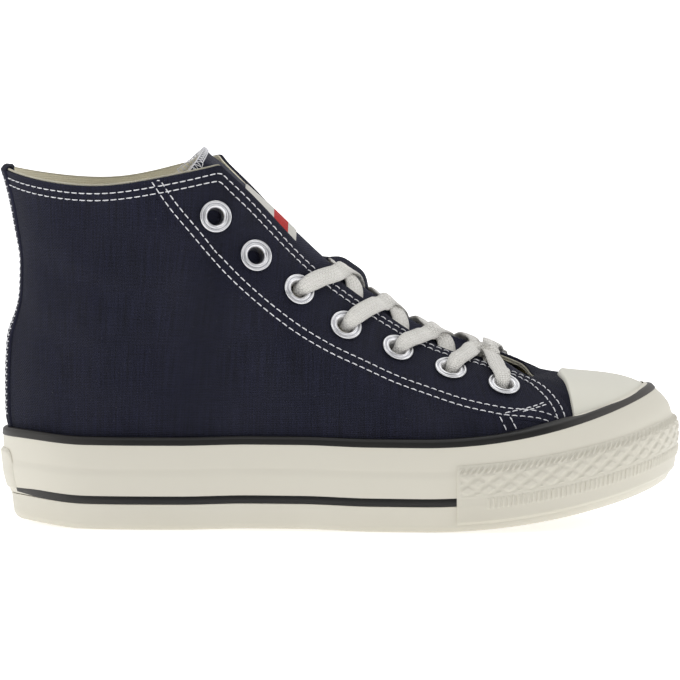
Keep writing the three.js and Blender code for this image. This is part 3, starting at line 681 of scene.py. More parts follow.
# ---------------------------------------------------------------- toe bumper
# A second, textured rubber strip wrapped round the toe over the foxing and cut off square at both ends. It is
# moulded with slanted ribs under its top edge, flat lozenges below them and a row of upright ribs.
BUMPER_PROUD = 1.4
BUMPER_HEIGHT = {"ends": 26, "toe": 25.6, "change": (70, 130)}
BUMPER_FOOT = 0.07  # share of the sole wall where it starts
RELIEF = 0.75
SLANTED_RIBS = {"from": 0.86, "to": 0.96, "pitch": 2.35, "slant": 0.8}
LOZENGES = {"from": 0.5, "to": 0.83, "pitch": 8.2, "height": 5.4}
UPRIGHT_RIBS = {"from": 0.26, "to": 0.43, "pitch": 1.95, "start": 12}
LEDGES = {"height": 0.3, "at": [(0.835, 0.848), (0.465, 0.48)]}


def band(value, start, end, soft):
    """1 between start and end and 0 beyond them, over a soft edge."""
    return smooth(start - soft, start + soft, value) * (1 - smooth(end - soft, end + soft, value))


def bumper_relief(along, up, share):
    """Height of the moulding, this far from the nearer end and up from the foot, in millimetres and as a
    share."""
    leaning = along - up * SLANTED_RIBS["slant"]
    slanted = smooth(-0.3, 0.5, np.sin(leaning * 2 * math.pi / SLANTED_RIBS["pitch"]))
    slanted = slanted * band(share, SLANTED_RIBS["from"], SLANTED_RIBS["to"], 0.03)
    steep = up * LOZENGES["pitch"] / LOZENGES["height"]
    cross = [np.abs(((along + sign * steep) / LOZENGES["pitch"]) % 1 - 0.5) for sign in (-1, 1)]
    lozenge = smooth(0.0, 0.2, cross[0] - 0.08) * mix(0.25, 1, smooth(0.0, 0.2, cross[1] - 0.08))
    lozenge = 0.8 * lozenge * band(share, LOZENGES["from"], LOZENGES["to"], 0.015)
    upright = smooth(-0.2, 0.5, np.sin(along * 2 * math.pi / UPRIGHT_RIBS["pitch"]))
    upright = 0.6 * upright * band(share, UPRIGHT_RIBS["from"], UPRIGHT_RIBS["to"], 0.015)
    upright = upright * smooth(UPRIGHT_RIBS["start"] - 1, UPRIGHT_RIBS["start"] + 1, along)
    ledge = sum(LEDGES["height"] * band(share, start, end, 0.006) for start, end in LEDGES["at"])
    return np.maximum.reduce(np.broadcast_arrays(slanted, lozenge, upright, ledge))


def lengths_along(path):
    """How far each point is along a path."""
    return np.concatenate([[0], np.cumsum(np.linalg.norm(np.diff(path, axis=0), axis=1))])


def make_bumper():
    around, up_count = 700, 72
    s = np.linspace(-BUMPER_REACH, BUMPER_REACH, around)
    base = outline(s)
    length = lengths_along(base)
    along = np.minimum(length, length[-1] - length)[:, None]
    x = base[:, 0]
    height = foxing_top_z(x) - bottom_z(x)
    top = mix(BUMPER_HEIGHT["ends"], BUMPER_HEIGHT["toe"], smooth(*BUMPER_HEIGHT["change"], x)) / height
    share = np.linspace(0, 1, up_count)[None, :]
    up = share * (top - BUMPER_FOOT)[:, None] * height[:, None]
    edge_end = smooth(0, 0.9, along)
    edge_side = smooth(0, 0.06, share) * (1 - smooth(0.8, 1.02, share))
    proud = (BUMPER_PROUD * (0.55 + 0.45 * edge_end) * (0.15 + 0.85 * edge_side)
             + RELIEF * bumper_relief(along, up, share) * smooth(0.8, 1.6, along))
    shares = BUMPER_FOOT + (top[:, None] - BUMPER_FOOT) * share
    outer = sole_side(s[:, None], shares, proud)
    inner = sole_side(s[:, None], shares[:, [-1, 0]], GAP / 2)
    make_piece("toe_bumper_strip", bar_sheets(np.concatenate([outer, inner], 1)), [bumper_rubber],
               ["toe_bumper"], sharp=50, weld=True)


bumper_rubber = rubber_material("bumper_rubber", linear(216, 212, 199), linear(186, 178, 156),
                                grime=0.4, gloss=0.4)
make_bumper()

# ---------------------------------------------------------------- heel label
# A small plate of the same white rubber, moulded bare, with rounded corners. It is cemented over the back
# of the foxing and stands a millimetre proud.
LABEL = {"from": 11.9, "to": 28, "proud": 1.3, "edge": 0.35, "corner": 4}


def make_label():
    around, up_count = 60, 36
    angle = np.linspace(-1, 1, around)
    s = 0.5 + angle * LABEL_REACH
    reach = np.abs(angle) * np.linalg.norm(outline(np.array(0.5)) - outline(np.array(0.5 + LABEL_REACH)))
    beyond = np.maximum(0, reach - (reach.max() - LABEL["corner"]))
    cut = LABEL["corner"] - np.sqrt(np.maximum(0, LABEL["corner"] ** 2 - beyond ** 2))
    x = outline(s)[:, 0]
    height = foxing_top_z(x) - bottom_z(x)
    share = np.linspace(0, 1, up_count)[None, :]
    heights = mix(LABEL["from"], (LABEL["to"] - 1.3 * cut)[:, None], share)
    rounded = (1 - np.abs(angle[:, None]) ** 10) * smooth(0, 0.06, share) * (1 - smooth(0.93, 1, share))
    outer = sole_side(s[:, None], heights / height[:, None], mix(LABEL["edge"], LABEL["proud"], rounded))
    inner = sole_side(s[:, None], heights[:, [-1, 0]] / height[:, None], 0.05)
    make_piece("heel_label_plate", bar_sheets(np.concatenate([outer, inner], 1)), [white_rubber],
               ["heel_label"], sharp=50, weld=True)


make_label()

# ---------------------------------------------------------------- insole
# A loose sock of cream drill over thin foam, cut to the inside of the last and laid on the footbed. It dips a
# little under the heel and the ball.
INSOLE = {"inset": 7.5, "thickness": 3}
DIPS = [{"x": -88, "reach": 30, "depth": 0.9}, {"x": 55, "reach": 32, "depth": 0.7}]


def woven_group():
    """Plain woven cloth: warp and weft threads over and under each other, with slubs, from the cloth's own
    lengths in metres."""
    group, given, made = node_group(
        "woven_cloth",
        {"Colour": (1.0, 1.0, 1.0, 1.0), "Thread colour": (1.0, 1.0, 1.0, 1.0), "Thread": 0.0006,
         "Contrast": 0.4, "Slub": 0.5},
        {"Colour": "NodeSocketColor", "Height": "NodeSocketFloat", "Roughness": "NodeSocketFloat"})
    lengths = group.nodes.new("ShaderNodeUVMap")
    lengths.uv_map = "cloth"
    apart = group.nodes.new("ShaderNodeSeparateXYZ")
    group.links.new(lengths.outputs["UV"], apart.inputs[0])
    counts = [math_node(group, "DIVIDE", apart.outputs[axis], given.outputs["Thread"]) for axis in ("X", "Y")]
    turns = [math_node(group, "MULTIPLY", n, math.pi) for n in counts]
    round_tops = [math_node(group, "ABSOLUTE", math_node(group, "SINE", turn)) for turn in turns]
    cells = [math_node(group, "FLOOR", n) for n in counts]
    over = math_node(group, "PINGPONG", math_node(group, "ADD", *cells), 1.0)
    warp = math_node(group, "MULTIPLY", round_tops[0], over)
    weft = math_node(group, "MULTIPLY", round_tops[1], math_node(group, "SUBTRACT", 1.0, over))
    threads = math_node(group, "ADD", warp, weft)
    slubs = []
    for stretch in ((1400.0, 45.0, 1.0), (60.0, 1500.0, 1.0)):
        scaled = group.nodes.new("ShaderNodeMapping")
        scaled.inputs["Scale"].default_value = stretch
        group.links.new(lengths.outputs["UV"], scaled.inputs["Vector"])
        slubs.append(noise(group, 1.0, 3, scaled.outputs["Vector"]))
    slub = math_node(group, "MULTIPLY_ADD", slubs[0], 0.7, math_node(group, "MULTIPLY", slubs[1], 0.3))
    lively = math_node(group, "MULTIPLY", math_node(group, "SUBTRACT", slub, 0.5), given.outputs["Slub"])
    light = math_node(group, "ADD", math_node(group, "MULTIPLY", threads, given.outputs["Contrast"]), lively)
    clamp = group.nodes.new("ShaderNodeClamp")
    group.links.new(light, clamp.inputs["Value"])
    colour = mix_colours(group, clamp.outputs[0], given.outputs["Colour"], given.outputs["Thread colour"])
    group.links.new(colour, made.inputs["Colour"])
    height = math_node(group, "ADD", threads, math_node(group, "MULTIPLY", slub, 0.6))
    group.links.new(height, made.inputs["Height"])
    group.links.new(math_node(group, "MULTIPLY_ADD", slub, 0.2, 0.72), made.inputs["Roughness"])
    return group


woven_cloth = woven_group()


def fluff_group():
    """Lint and rubbing: pale dust in soft patches and in single flecks."""
    group, given, made = node_group(
        "lint",
        {"Colour": (1.0, 1.0, 1.0, 1.0), "Lint colour": (1.0, 1.0, 1.0, 1.0), "Patches": 0.1, "Flecks": 0.2},
        {"Colour": "NodeSocketColor"})
    patches = math_node(group, "MULTIPLY", noise(group, 45, 5), given.outputs["Patches"])
    fleck = math_node(group, "MULTIPLY", math_node(group, "GREATER_THAN", noise(group, 900, 1), 0.79),
                      given.outputs["Flecks"])
    amount = math_node(group, "MAXIMUM", patches, fleck)
    group.links.new(mix_colours(group, amount, given.outputs["Colour"], given.outputs["Lint colour"]),
                    made.inputs["Colour"])
    return group


lint = fluff_group()


def cloth_material(name, colour, thread_colour, thread, contrast, slub, patches, flecks, sheen, depth=0.12,
                   gloss=0.12, lint_colour=(150, 150, 156)):
    """Cloth of threads this wide, raised this deep, both in millimetres. Colours are sRGB, 0 to 255."""
    material, nodes, links = new_material(name)
    shader = nodes["Principled BSDF"]
    weave = use_group(material, woven_cloth, {
        "Colour": linear(*colour), "Thread colour": linear(*thread_colour), "Thread": thread * MM,
        "Contrast": contrast, "Slub": slub})
    worn = use_group(material, lint, {
        "Lint colour": linear(*lint_colour), "Patches": patches, "Flecks": flecks})
    links.new(weave.outputs["Colour"], worn.inputs["Colour"])
    links.new(worn.outputs["Colour"], shader.inputs["Base Color"])
    links.new(weave.outputs["Roughness"], shader.inputs["Roughness"])
    shader.inputs["Specular IOR Level"].default_value = gloss
    shader.inputs["Sheen Weight"].default_value = sheen
    shader.inputs["Sheen Roughness"].default_value = 0.5
    add_bump(material, weave.outputs["Height"], depth * MM)
    return material


cream_drill = cloth_material("cream_drill", (240, 232, 203), (248, 244, 224), thread=0.7, contrast=0.5,
                             slub=0.5, patches=0.05, flecks=0.1, sheen=0.1)


def make_insole():
    half, across = 200, 60
    s = np.linspace(0, 0.5, half + 1)
    lateral = outline_at(s, INSOLE["inset"], footbed_z)[:, None]
    medial = outline_at(-s, INSOLE["inset"], footbed_z)[:, None]
    share = np.linspace(0, 1, across)[None, :, None]
    top = mix(lateral, medial, share)
    x = top[..., 0]
    dip = sum(part["depth"] * np.exp(-((x - part["x"]) / part["reach"]) ** 2) for part in DIPS)
    dip = dip * smooth(0, 0.3, np.minimum(share[..., 0], 1 - share[..., 0]))
    low = top + np.array([0, 0, GAP])
    top = top + np.array([0, 0, GAP + INSOLE["thickness"]])
    top[..., 2] -= dip
    make_piece("insole_sock", [
        (top, quads(half + 1, across), top[..., :2], 0),
        (low, quads(half + 1, across)[:, ::-1], low[..., :2], 0),
        *((np.stack([top[:, end], low[:, end]], 1), quads(half + 1, 2), None, 0) for end in (0, -1)),
    ], [cream_drill], ["insole"], weld=True)


make_insole()

# ---------------------------------------------------------------- upper
# The lasted upper: navy cotton canvas, one wall from the sole's edge to the collar and throat, open at the
# top. Its soft folds are where the ankle bends and where the laces pull. The eyelet holes are punched
# through it.
CANVAS = 1.25  # the outer ply
WALL = 2
LAST_ROUND = 660  # once round the last
EYELETS = {"x": [-48.6, -32.9, -16.2, 2.2, 22.5, 43.3, 64.2], "z": [122.1, 106.7, 93.1, 79, 69.9, 61.8, 55.9]}
MEDIAL_LIFT = 3  # of the medial eyelets at the ball
HOLE = 4
PUNCH_REACH = 8
CLOTH_SHARP = 35  # degrees, from which a cut edge shows as one

# Soft folds on the canvas, each as [k, t, to k, to t, height, half-width]: k counts sections from the toe
# tip and t is the share of the way up the wall. A trough has a negative height.
LATERAL_FOLDS = [
    [12.9, 0.80, 11.2, 0.62, 0.55, 7],
    [12.7, 0.68, 10.9, 0.50, -0.6, 6],
    [12.9, 0.52, 11.6, 0.38, 0.5, 7],
    [12.6, 0.36, 11.0, 0.25, -0.45, 7],
    [10.2, 0.60, 8.7, 0.40, 0.5, 8],
    [9.6, 0.46, 8.0, 0.30, -0.5, 7],
    [8.2, 0.52, 7.0, 0.30, 0.45, 7],
    [7.2, 0.42, 6.2, 0.22, -0.45, 6],
    [6.0, 0.40, 5.2, 0.20, 0.4, 6],
    [4.9, 0.36, 4.3, 0.20, -0.4, 5],
    [11.6, 0.86, 10.9, 0.70, -0.4, 6],
    [14.0, 0.68, 14.0, 0.57, -2.2, 12],  # above the heel bone
    [14.0, 0.38, 14.0, 0.13, 1.6, 9],
    [2.6, 0.75, 1.9, 0.55, 0.3, 4],
]
MEDIAL_FOLDS = [
    [12.8, 0.78, 11.3, 0.66, -0.5, 7],
    [12.6, 0.60, 11.0, 0.44, 0.6, 7],
    [12.3, 0.42, 10.6, 0.30, -0.5, 6],
    [9.9, 0.56, 8.4, 0.36, 0.5, 8],
    [8.8, 0.42, 7.6, 0.26, -0.5, 7],
    [7.1, 0.46, 6.1, 0.24, 0.45, 6],
    [5.6, 0.40, 4.8, 0.20, -0.45, 6],
]

WAVES = 0.22  # long slight waves all over the cloth

# The wall's height over its own curve, section by section.
section_walls = wall(np.arange(COUNT)[:, None] / COUNT, np.linspace(0, 1, 40)[None, :])
tall = np.linalg.norm(np.diff(section_walls, axis=1), axis=2).sum(1)
tall = np.append(tall, tall[0])


def wall_height(s):
    return np.interp((np.asarray(s, float) % 1) * COUNT, np.arange(COUNT + 1), tall)


def folds(s, t):
    """How far the cloth stands off the last, in soft ridges and troughs."""
    s, t = np.broadcast_arrays(np.asarray(s, float) % 1, np.asarray(t, float))
    high = wall_height(s)
    total = WAVES * np.sin(s * 61 + 2.2 * t) * np.sin(4.6 * t + 1) * smooth(0.05, 0.25, t)
    for side, table in ((s, LATERAL_FOLDS), (1 - s, MEDIAL_FOLDS)):
        for fold in table:
            k, start, to_k, end, height, width = fold
            per_k = LAST_ROUND / COUNT
            ax, ay = (side * COUNT - k) * per_k, (t - start) * high
            bx, by = (to_k - k) * per_k, (end - start) * high
            share = np.clip((ax * bx + ay * by) / (bx * bx + by * by), 0, 1)
            away = (ax - share * bx) ** 2 + (ay - share * by) ** 2
            total = total + height * np.exp(-away / width ** 2)
    return total * smooth(0.0, 0.12, t) * (1 - smooth(0.88, 1.0, t))


# Where the lace that slips under the medial eyestay raises it: its section, and the hump's height and reach.
STAY_LIFT = {"k": 6.5, "height": 10.5, "along": 9, "down": 10, "crest": 0.35}


def lace_lift(s, t):
    """The medial eyestay's edge, lifted by the lace that slips beneath it."""
    k = (1 - np.asarray(s, float) % 1) * COUNT
    along = (k - STAY_LIFT["k"]) * LAST_ROUND / COUNT / STAY_LIFT["along"]
    down = (1 - np.asarray(t, float)) * wall_height(s) / STAY_LIFT["down"]
    rise = np.exp(-(down - STAY_LIFT["crest"]) ** 2 * 3) - 0.35 * np.exp(-down ** 2 * 14)
    return STAY_LIFT["height"] * np.exp(-along ** 4) * rise


def cloth_at(s, t, offset):
    return wall_at(s, t, np.asarray(offset, float) + folds(s, t) + lace_lift(s, t))


def cloth_lengths(s, t):
    s, t = np.broadcast_arrays(np.asarray(s, float), np.asarray(t, float))
    return np.stack([s * LAST_ROUND, t * wall_height(s)], -1)


def place_on_wall(miss, side):
    """The place on one side of the upper where miss, a measure of points, is least."""
    start, end = (0.0, 0.5) if side == "lateral" else (0.5, 1.0)
    s, t = np.meshgrid(np.linspace(start, end, 241), np.linspace(0, 1, 81), indexing="ij")
    best = np.argmin(miss(wall(s, t)))
    s, t = s.ravel()[best], t.ravel()[best]
    reach = 1 / 240  # two of the grid's steps
    for _ in range(12):
        ds, dt = np.meshgrid([-reach, 0, reach], [-3 * reach, 0, 3 * reach])
        ss, tt = s + ds.ravel(), np.clip(t + dt.ravel(), 0, 1)
        best = np.argmin(miss(wall(ss, tt)))
        s, t = ss[best], tt[best]
        reach /= 1.7
    return float(s), float(t)


def eyelet_places():
    places = {}
    for side in ("lateral", "medial"):
        for row, (x, z) in enumerate(zip(EYELETS["x"], EYELETS["z"]), 1):
            lift = 0 if side == "lateral" else float(MEDIAL_LIFT * smooth(-30, 45, x))
            s, t = place_on_wall(lambda p: np.hypot(p[..., 0] - x, p[..., 2] - z - lift), side)
            at = wall(np.array(s), np.array(t))
            places[side, row] = {"side": side, "s": s, "t": t, "at": at,
                                 "normal": wall_normal(np.array(s), np.array(t))}
    return places


eyelets = eyelet_places()


def upright_axes(normal):
    """Two directions across a normal, the first level."""
    level = unit(np.cross([0, 0, 1.0], normal))
    return level, np.cross(normal, level)


def make_punch(reach):
    """Short rods at all the eyelets, joined, to cut their holes with."""
    points, faces = [], []
    turn = np.linspace(0, 2 * math.pi, 40, endpoint=False)
    for place in eyelets.values():
        level, up = upright_axes(place["normal"])
        start = len(points)
        for depth in (-reach, reach):
            round_it = HOLE * (np.cos(turn)[:, None] * level + np.sin(turn)[:, None] * up)
            points += (place["at"] + place["normal"] * depth + round_it).tolist()
        n = len(turn)
        faces += [[start + i, start + (i + 1) % n, start + n + (i + 1) % n, start + n + i] for i in range(n)]
        faces += [list(range(start, start + n))[::-1], list(range(start + n, start + 2 * n))]
    mesh = bpy.data.meshes.new("punch")
    mesh.from_pydata((np.array(points) * MM).tolist(), [], faces)
    punch = bpy.data.objects.new("punch", mesh)
    bpy.context.collection.objects.link(punch)
    return punch


def punch_holes(piece):
    punch = make_punch(PUNCH_REACH)
    cut = piece.modifiers.new("holes", "BOOLEAN")
    cut.operation, cut.object, cut.solver = "DIFFERENCE", punch, "MANIFOLD"
    made = bpy.data.meshes.new_from_object(piece.evaluated_get(bpy.context.evaluated_depsgraph_get()))
    piece.modifiers.clear()
    old, piece.data = piece.data, made
    made.name = old.name
    bpy.data.meshes.remove(old)
    bpy.data.objects.remove(punch)
    made.shade_smooth()
    made.set_sharp_from_angle(angle=math.radians(CLOTH_SHARP))


def shell(around, outer_t, inner_t, outer_offset, inner_offset):
    """A ply of the upper, closed all round, between two offsets from the last."""
    s = np.arange(around)[:, None] / around
    t = np.concatenate([outer_t, inner_t[::-1]])[None, :]
    offset = np.concatenate([np.full(len(outer_t), outer_offset), np.full(len(inner_t), inner_offset)])
    offset = offset[None, :] + 0 * s
    ring = cloth_at(s, t, offset)
    return ring, quads(around, t.shape[1], closed_rows=True, closed_columns=True), cloth_lengths(s, t)


navy_canvas = cloth_material("navy_canvas", (8, 9, 19), (39, 41, 65), thread=0.6, contrast=0.6, slub=1.6,
                             patches=0.05, flecks=0.15, sheen=0.04, depth=0.2)


def make_upper():
    ring, faces, lengths = shell(480, np.linspace(0, 1, 90), np.linspace(0, 1, 24), 0.0, -CANVAS)
    upper = make_piece("canvas_upper", [(ring, faces, lengths, 0)], [navy_canvas], ["upper"])
    punch_holes(upper)


make_upper()

# ---------------------------------------------------------------- lining
# The inner ply of cream cotton drill, bonded to the canvas, and the bound edge round the collar and throat
# where the lining is turned over the canvas as a thin pale bead.
BEAD = {"radius": 0.45, "in": 1.25, "up": 0.25, "throat": 0.9, "points": 900, "sides": 10, "flat": 4}


def make_lining():
    ring, faces, lengths = shell(360, np.linspace(0, 1, 50), np.linspace(0, 1, 60), -CANVAS - 0.05, -WALL)
    lining = make_piece("drill_lining", [(ring, faces, lengths, 0)], [cream_drill])
    punch_holes(lining)


def round_cord(path, radius, sides):
    """A round cord along a closed path."""
    along = unit(np.roll(path, -1, 0) - np.roll(path, 1, 0))
    level = unit(np.cross(along, [0, 0, 1.0]))
    up = np.cross(level, along)
    turn = np.linspace(0, 2 * math.pi, sides, endpoint=False)[None, :, None]
    ring = path[:, None] + radius * (np.cos(turn) * level[:, None] + np.sin(turn) * up[:, None])
    return ring, quads(len(path), sides, closed_rows=True, closed_columns=True)


def make_bead():
    count = BEAD["points"]
    s = np.arange(count) / count
    path = cloth_at(s, np.ones(count), np.full(count, -BEAD["in"]))
    medial = (1 - s) * COUNT
    # On the medial side of the throat the canvas stands over it.
    path[:, 2] += BEAD["up"] - BEAD["throat"] * smooth(6, 7.5, medial) * (1 - smooth(9.9, 10.6, medial))
    ring, faces = round_cord(path, BEAD["radius"], BEAD["sides"])
    round_it = np.linspace(0, BEAD["flat"], BEAD["sides"])
    lengths = np.stack(np.broadcast_arrays(s[:, None] * LAST_ROUND, round_it[None, :]), -1)
    make_piece("bound_edge", [(ring, faces, lengths, 0)], [cream_tape])


cream_tape = cloth_material("cream_tape", (205, 200, 180), (228, 224, 208), thread=0.5, contrast=0.4,
                            slub=0.4, patches=0.02, flecks=0.0, sheen=0.1)
make_lining()
make_bead()

# ---------------------------------------------------------------- eyestays
# A second layer of canvas on each side, along the throat from the collar down to the foxing, where its free
# edge overlaps the vamp. It is sewn down with two rows of thread before and behind, and carries the
# eyelets.
STAY_FRONT = [(10.95, 1), (9.5, 1), (8, 1), (6.5, 1), (5, 1), (3.8, 1), (3.0, 1), (2.55, 0.985), (2.2, 0.92),
              (2.06, 0.8), (2.1, 0.68), (2.16, 0.56), (2.23, 0.43), (2.34, 0.29), (2.46, 0.17)]
# Its rear edge, forward and up from the middle of the shoe's side.
STAY_REAR = [(-75.4, 136.3), (-67.8, 125), (-59.2, 114.6), (-49.5, 103.2), (-40, 93.6), (-30, 84.9),
             (-17.3, 75.4), (-5, 68.2), (8, 62.2), (21.5, 56.2), (34.5, 51.7), (47, 47.6), (62, 44.2),
             (83, 40.2), (88, 36.5)]
STAY_EDGE = 0.75  # how far its cut edge stands over the vamp
STAY_BACK = 0.3
STAY_UNDER = 0.2  # how far its back sinks in the canvas
STAY_STEPS = 420


def through(points, count, upright=5):
    """Places evenly along a smooth curve through given ones."""
    points = np.array(points, float)
    lengths = lengths_along(points * [1, upright])
    slopes = np.gradient(points, lengths, axis=0)
    at = np.linspace(0, lengths[-1], count)
    i = np.clip(np.searchsorted(lengths, at, "right") - 1, 0, len(points) - 2)
    h = (lengths[i + 1] - lengths[i])[:, None]
    f = (at - lengths[i])[:, None] / h
    return hermite(points[i], slopes[i] * h, points[i + 1], slopes[i + 1] * h, f)


def round_share(k, side):
    return k / COUNT if side == "lateral" else 1 - k / COUNT


def seam(points, side, count):
    """Sections and shares up the wall along a line drawn on the shoe's side."""
    line = through(points, 90, 1)
    places = np.array([place_on_wall(lambda p: np.hypot(p[..., 0] - x, p[..., 2] - z), side)
                       for x, z in line])
    places[:, 0] = COUNT * np.where(side == "lateral", places[:, 0], 1 - places[:, 0])
    at = np.linspace(0, len(line) - 1, count)
    return np.stack([np.interp(at, np.arange(len(line)), places[:, axis]) for axis in (0, 1)], -1)


def end_strips(face, back):
    """Strips that join a sheet to its back along its first and last row."""
    return [(np.stack([face[end], back[end]]), quads(2, face.shape[1]), None, 0) for end in (0, -1)]


def backed_sheets(face, back, lengths):
    """A piece of cloth, closed round both long edges and at both ends."""
    rows, columns = face.shape[:2]
    ring = np.concatenate([face, back[:, ::-1]], 1)
    lengths = np.concatenate([lengths, lengths[:, ::-1]], 1)
    return [(ring, quads(rows, 2 * columns, closed_columns=True), lengths, 0), *end_strips(face, back)]


def make_stay(side):
    count, across = STAY_STEPS, 26
    front, rear = through(STAY_FRONT, count), stay_rears[side]
    share = np.linspace(0, 1, across)[None, :, None]
    field = mix(front[:, None], rear[:, None], share)
    edges = [cloth_at(round_share(line[:, 0], side), line[:, 1], np.zeros(count)) for line in (front, rear)]
    width = np.linalg.norm(edges[0] - edges[1], axis=1)[:, None]
    share = share[..., 0]
    height = mix(STAY_EDGE, STAY_BACK, share) * np.sqrt(smooth(-0.3, 0.7, share * width))
    height = height * smooth(-0.4, 1.2, (1 - share) * width) + 0.02
    s, t = round_share(field[..., 0], side), field[..., 1]
    face, back = cloth_at(s, t, height), cloth_at(s, t, -STAY_UNDER + 0 * height)
    sheets = backed_sheets(face, back, cloth_lengths(s, t))
    stay = make_piece(f"eyestay_{side}", sheets, [navy_canvas], weld=True)
    punch_holes(stay)


stay_rears = {side: seam(STAY_REAR, side, STAY_STEPS) for side in ("lateral", "medial")}
for side in ("lateral", "medial"):
    make_stay(side)

# ---------------------------------------------------------------- heel tape
# A strip of the same canvas down the back seam, from the foxing over the collar and a little way inside,
# edged on both sides with a white overlock thread.
TAPE = {"half": 8, "thickness": 0.75, "inside": 9, "crown": 1.5, "lift": 0.1, "length": 120}
TAPE_FOOT = {"from": 0.35, "to": 0.6, "width": 0.66}  # it narrows on the way down


def tape_reach(t):
    """Share of the way round that reaches the tape's edge at each height."""
    step = 0.01
    half = np.linalg.norm(wall(0.5 + step, t) - wall(0.5 - step, t), axis=-1) / (2 * step)
    return TAPE["half"] * mix(TAPE_FOOT["width"], 1, smooth(TAPE_FOOT["from"], TAPE_FOOT["to"], t)) / half


def make_heel_tape():
    up_count, across = 130, 30
    t = np.linspace(0.05, 1, up_count)[:, None]
    side = np.linspace(-1, 1, across)[None, :]
    s = 0.5 + side * tape_reach(t)
    soft = np.sqrt(np.clip(1 - np.abs(side) ** 14, 0, 1)) * np.ones_like(t)
    face = cloth_at(s, t + 0 * s, TAPE["lift"] + TAPE["thickness"] * soft)
    over = np.linspace(0, 1, 30)[1:, None, None]
    edge_out = face[-1]
    edge_in = wall_at(s[-1], np.ones(across), np.full(across, -WALL - 3 * TAPE["lift"] - TAPE["thickness"]))
    handle = (edge_out + edge_in) / 2 + np.array([0, 0, 2 * TAPE["crown"]])
    bend = (1 - over) ** 2 * edge_out + 2 * over * (1 - over) * handle + over ** 2 * edge_in
    down = np.linspace(1, 1 - TAPE["inside"] / float(wall_height(0.5)), 14)[1:, None]
    depth = WALL + 2 * TAPE["lift"] + TAPE["thickness"] * soft[0]
    inside = cloth_at(s[-1] + 0 * down, down + 0 * s[-1], -depth)
    face = np.concatenate([face, bend, inside])
    normal = unit(np.cross(np.gradient(face, axis=0), np.gradient(face, axis=1)))
    back = face + normal * 0.5 * (1 if normal[0, across // 2, 0] > 0 else -1)
    down = np.linspace(0, TAPE["length"], len(face))[:, None]
    lengths = np.stack(np.broadcast_arrays(side * TAPE["half"], down), -1)
    make_piece("heel_tape", backed_sheets(face, back, lengths), [navy_tape], weld=True)


navy_tape = cloth_material("navy_tape", (16, 17, 31), (40, 42, 68), thread=0.5, contrast=0.45, slub=0.8,
                           patches=0.03, flecks=0.1, sheen=0.06)
make_heel_tape()

# ---------------------------------------------------------------- toe cap
# A smooth off-white rubber cap over the toes, cemented on the canvas, with its foot under the foxing. Its
# rear edge is a shallow curve, rounded over and standing proud of the vamp.
CAP = {"rear": 86, "sweep": 6, "centre": 3, "reach": 38, "rounding": 0.8, "sections": 2.36, "foot": 6}


def make_toe_cap():
    around, up_count, back_count = 260, 90, 12
    ends = CAP["sections"] / COUNT
    s = np.linspace(-ends, ends, around)
    steps = np.linspace(0, 1, 401)
    field = wall(s[:, None], steps[None, :])
    aside = np.minimum(1, np.abs(field[..., 1] - CAP["centre"]) / CAP["reach"])
    rear = CAP["rear"] + CAP["sweep"] * aside ** 1.6
    ahead = field[..., 0] >= rear
    top = steps[ahead.shape[1] - 1 - np.argmax(ahead[:, ::-1], 1)]
    top = np.where(ahead.any(1), top, 0.0)
    top = np.convolve(np.pad(top, 3, mode="edge"), np.ones(7) / 7, "valid")
    foot = np.minimum(rise_to(s, lambda x: foxing_top_z(x) - CAP["foot"]), top - 0.02)
    share = np.linspace(0, 1, up_count)[None, :] ** 0.9
    t = foot[:, None] + (top - foot)[:, None] * share
    length = (top - foot)[:, None] * wall_height(s)[:, None] * (1 - share)
    edge = 1 - np.sqrt(np.clip(1 - (1 - np.clip(length / CAP["rounding"], 0, 1)) ** 2, 0, 1))
    face = wall_at(s[:, None], t, GAP + CAP_THICKNESS * (1 - 0.9 * edge))
    back = wall_at(s[:, None], foot[:, None] + (top - foot)[:, None] * np.linspace(1, 0, back_count)[None, :],
                   np.full((around, back_count), 0.05))
    make_piece("rubber_toe_cap", bar_sheets(np.concatenate([face, back], 1)), [cap_rubber],
               ["toe_cap"], sharp=50, weld=True)


cap_rubber = rubber_material("cap_rubber", linear(226, 224, 212), linear(200, 194, 176),
                             grime=0.15, gloss=0.45)
make_toe_cap()

# ---------------------------------------------------------------- tongue
# A separate tongue of navy canvas lined with cream drill, sewn under the vamp, tucked in beneath both
# eyestays and curved round at its head, where a white overlock thread closes its edge. A plain woven label
# is sewn on its front.
TONGUE_THICKNESS = 2
# At k sections from the toe tip: how full it stands up between the eyestays, and how far it reaches in
# under each of them and lies beneath the canvas, in millimetres.
TONGUE_SHAPE = {"k": [3, 4, 5, 6.5, 7.0, 7.4, 8.2, 9.4],
                "fullness": [1.1, 1.0, 0.75, 0.66, 0.66, 0.5, 0.2, 0.04],
                "tuck": [14, 14, 14, 17, 22, 27, 31, 31],
                "depth": [2.9, 3.0, 3.8, 4.6, 4.6, 4.6, 4.6, 4.6]}
TONGUE_ROWS = (3, 9.2)
TONGUE_FOOT = [{"x": 86, "half": 15}, {"x": 78, "half": 18}]
TONGUE_HEAD = {"peak": (-53.2, 0, 147.6), "lateral": (-60.5, -23.4, 137.5), "medial": (-66, 24, 136)}
ARCH_COLUMNS, TUCK_COLUMNS = 25, 8


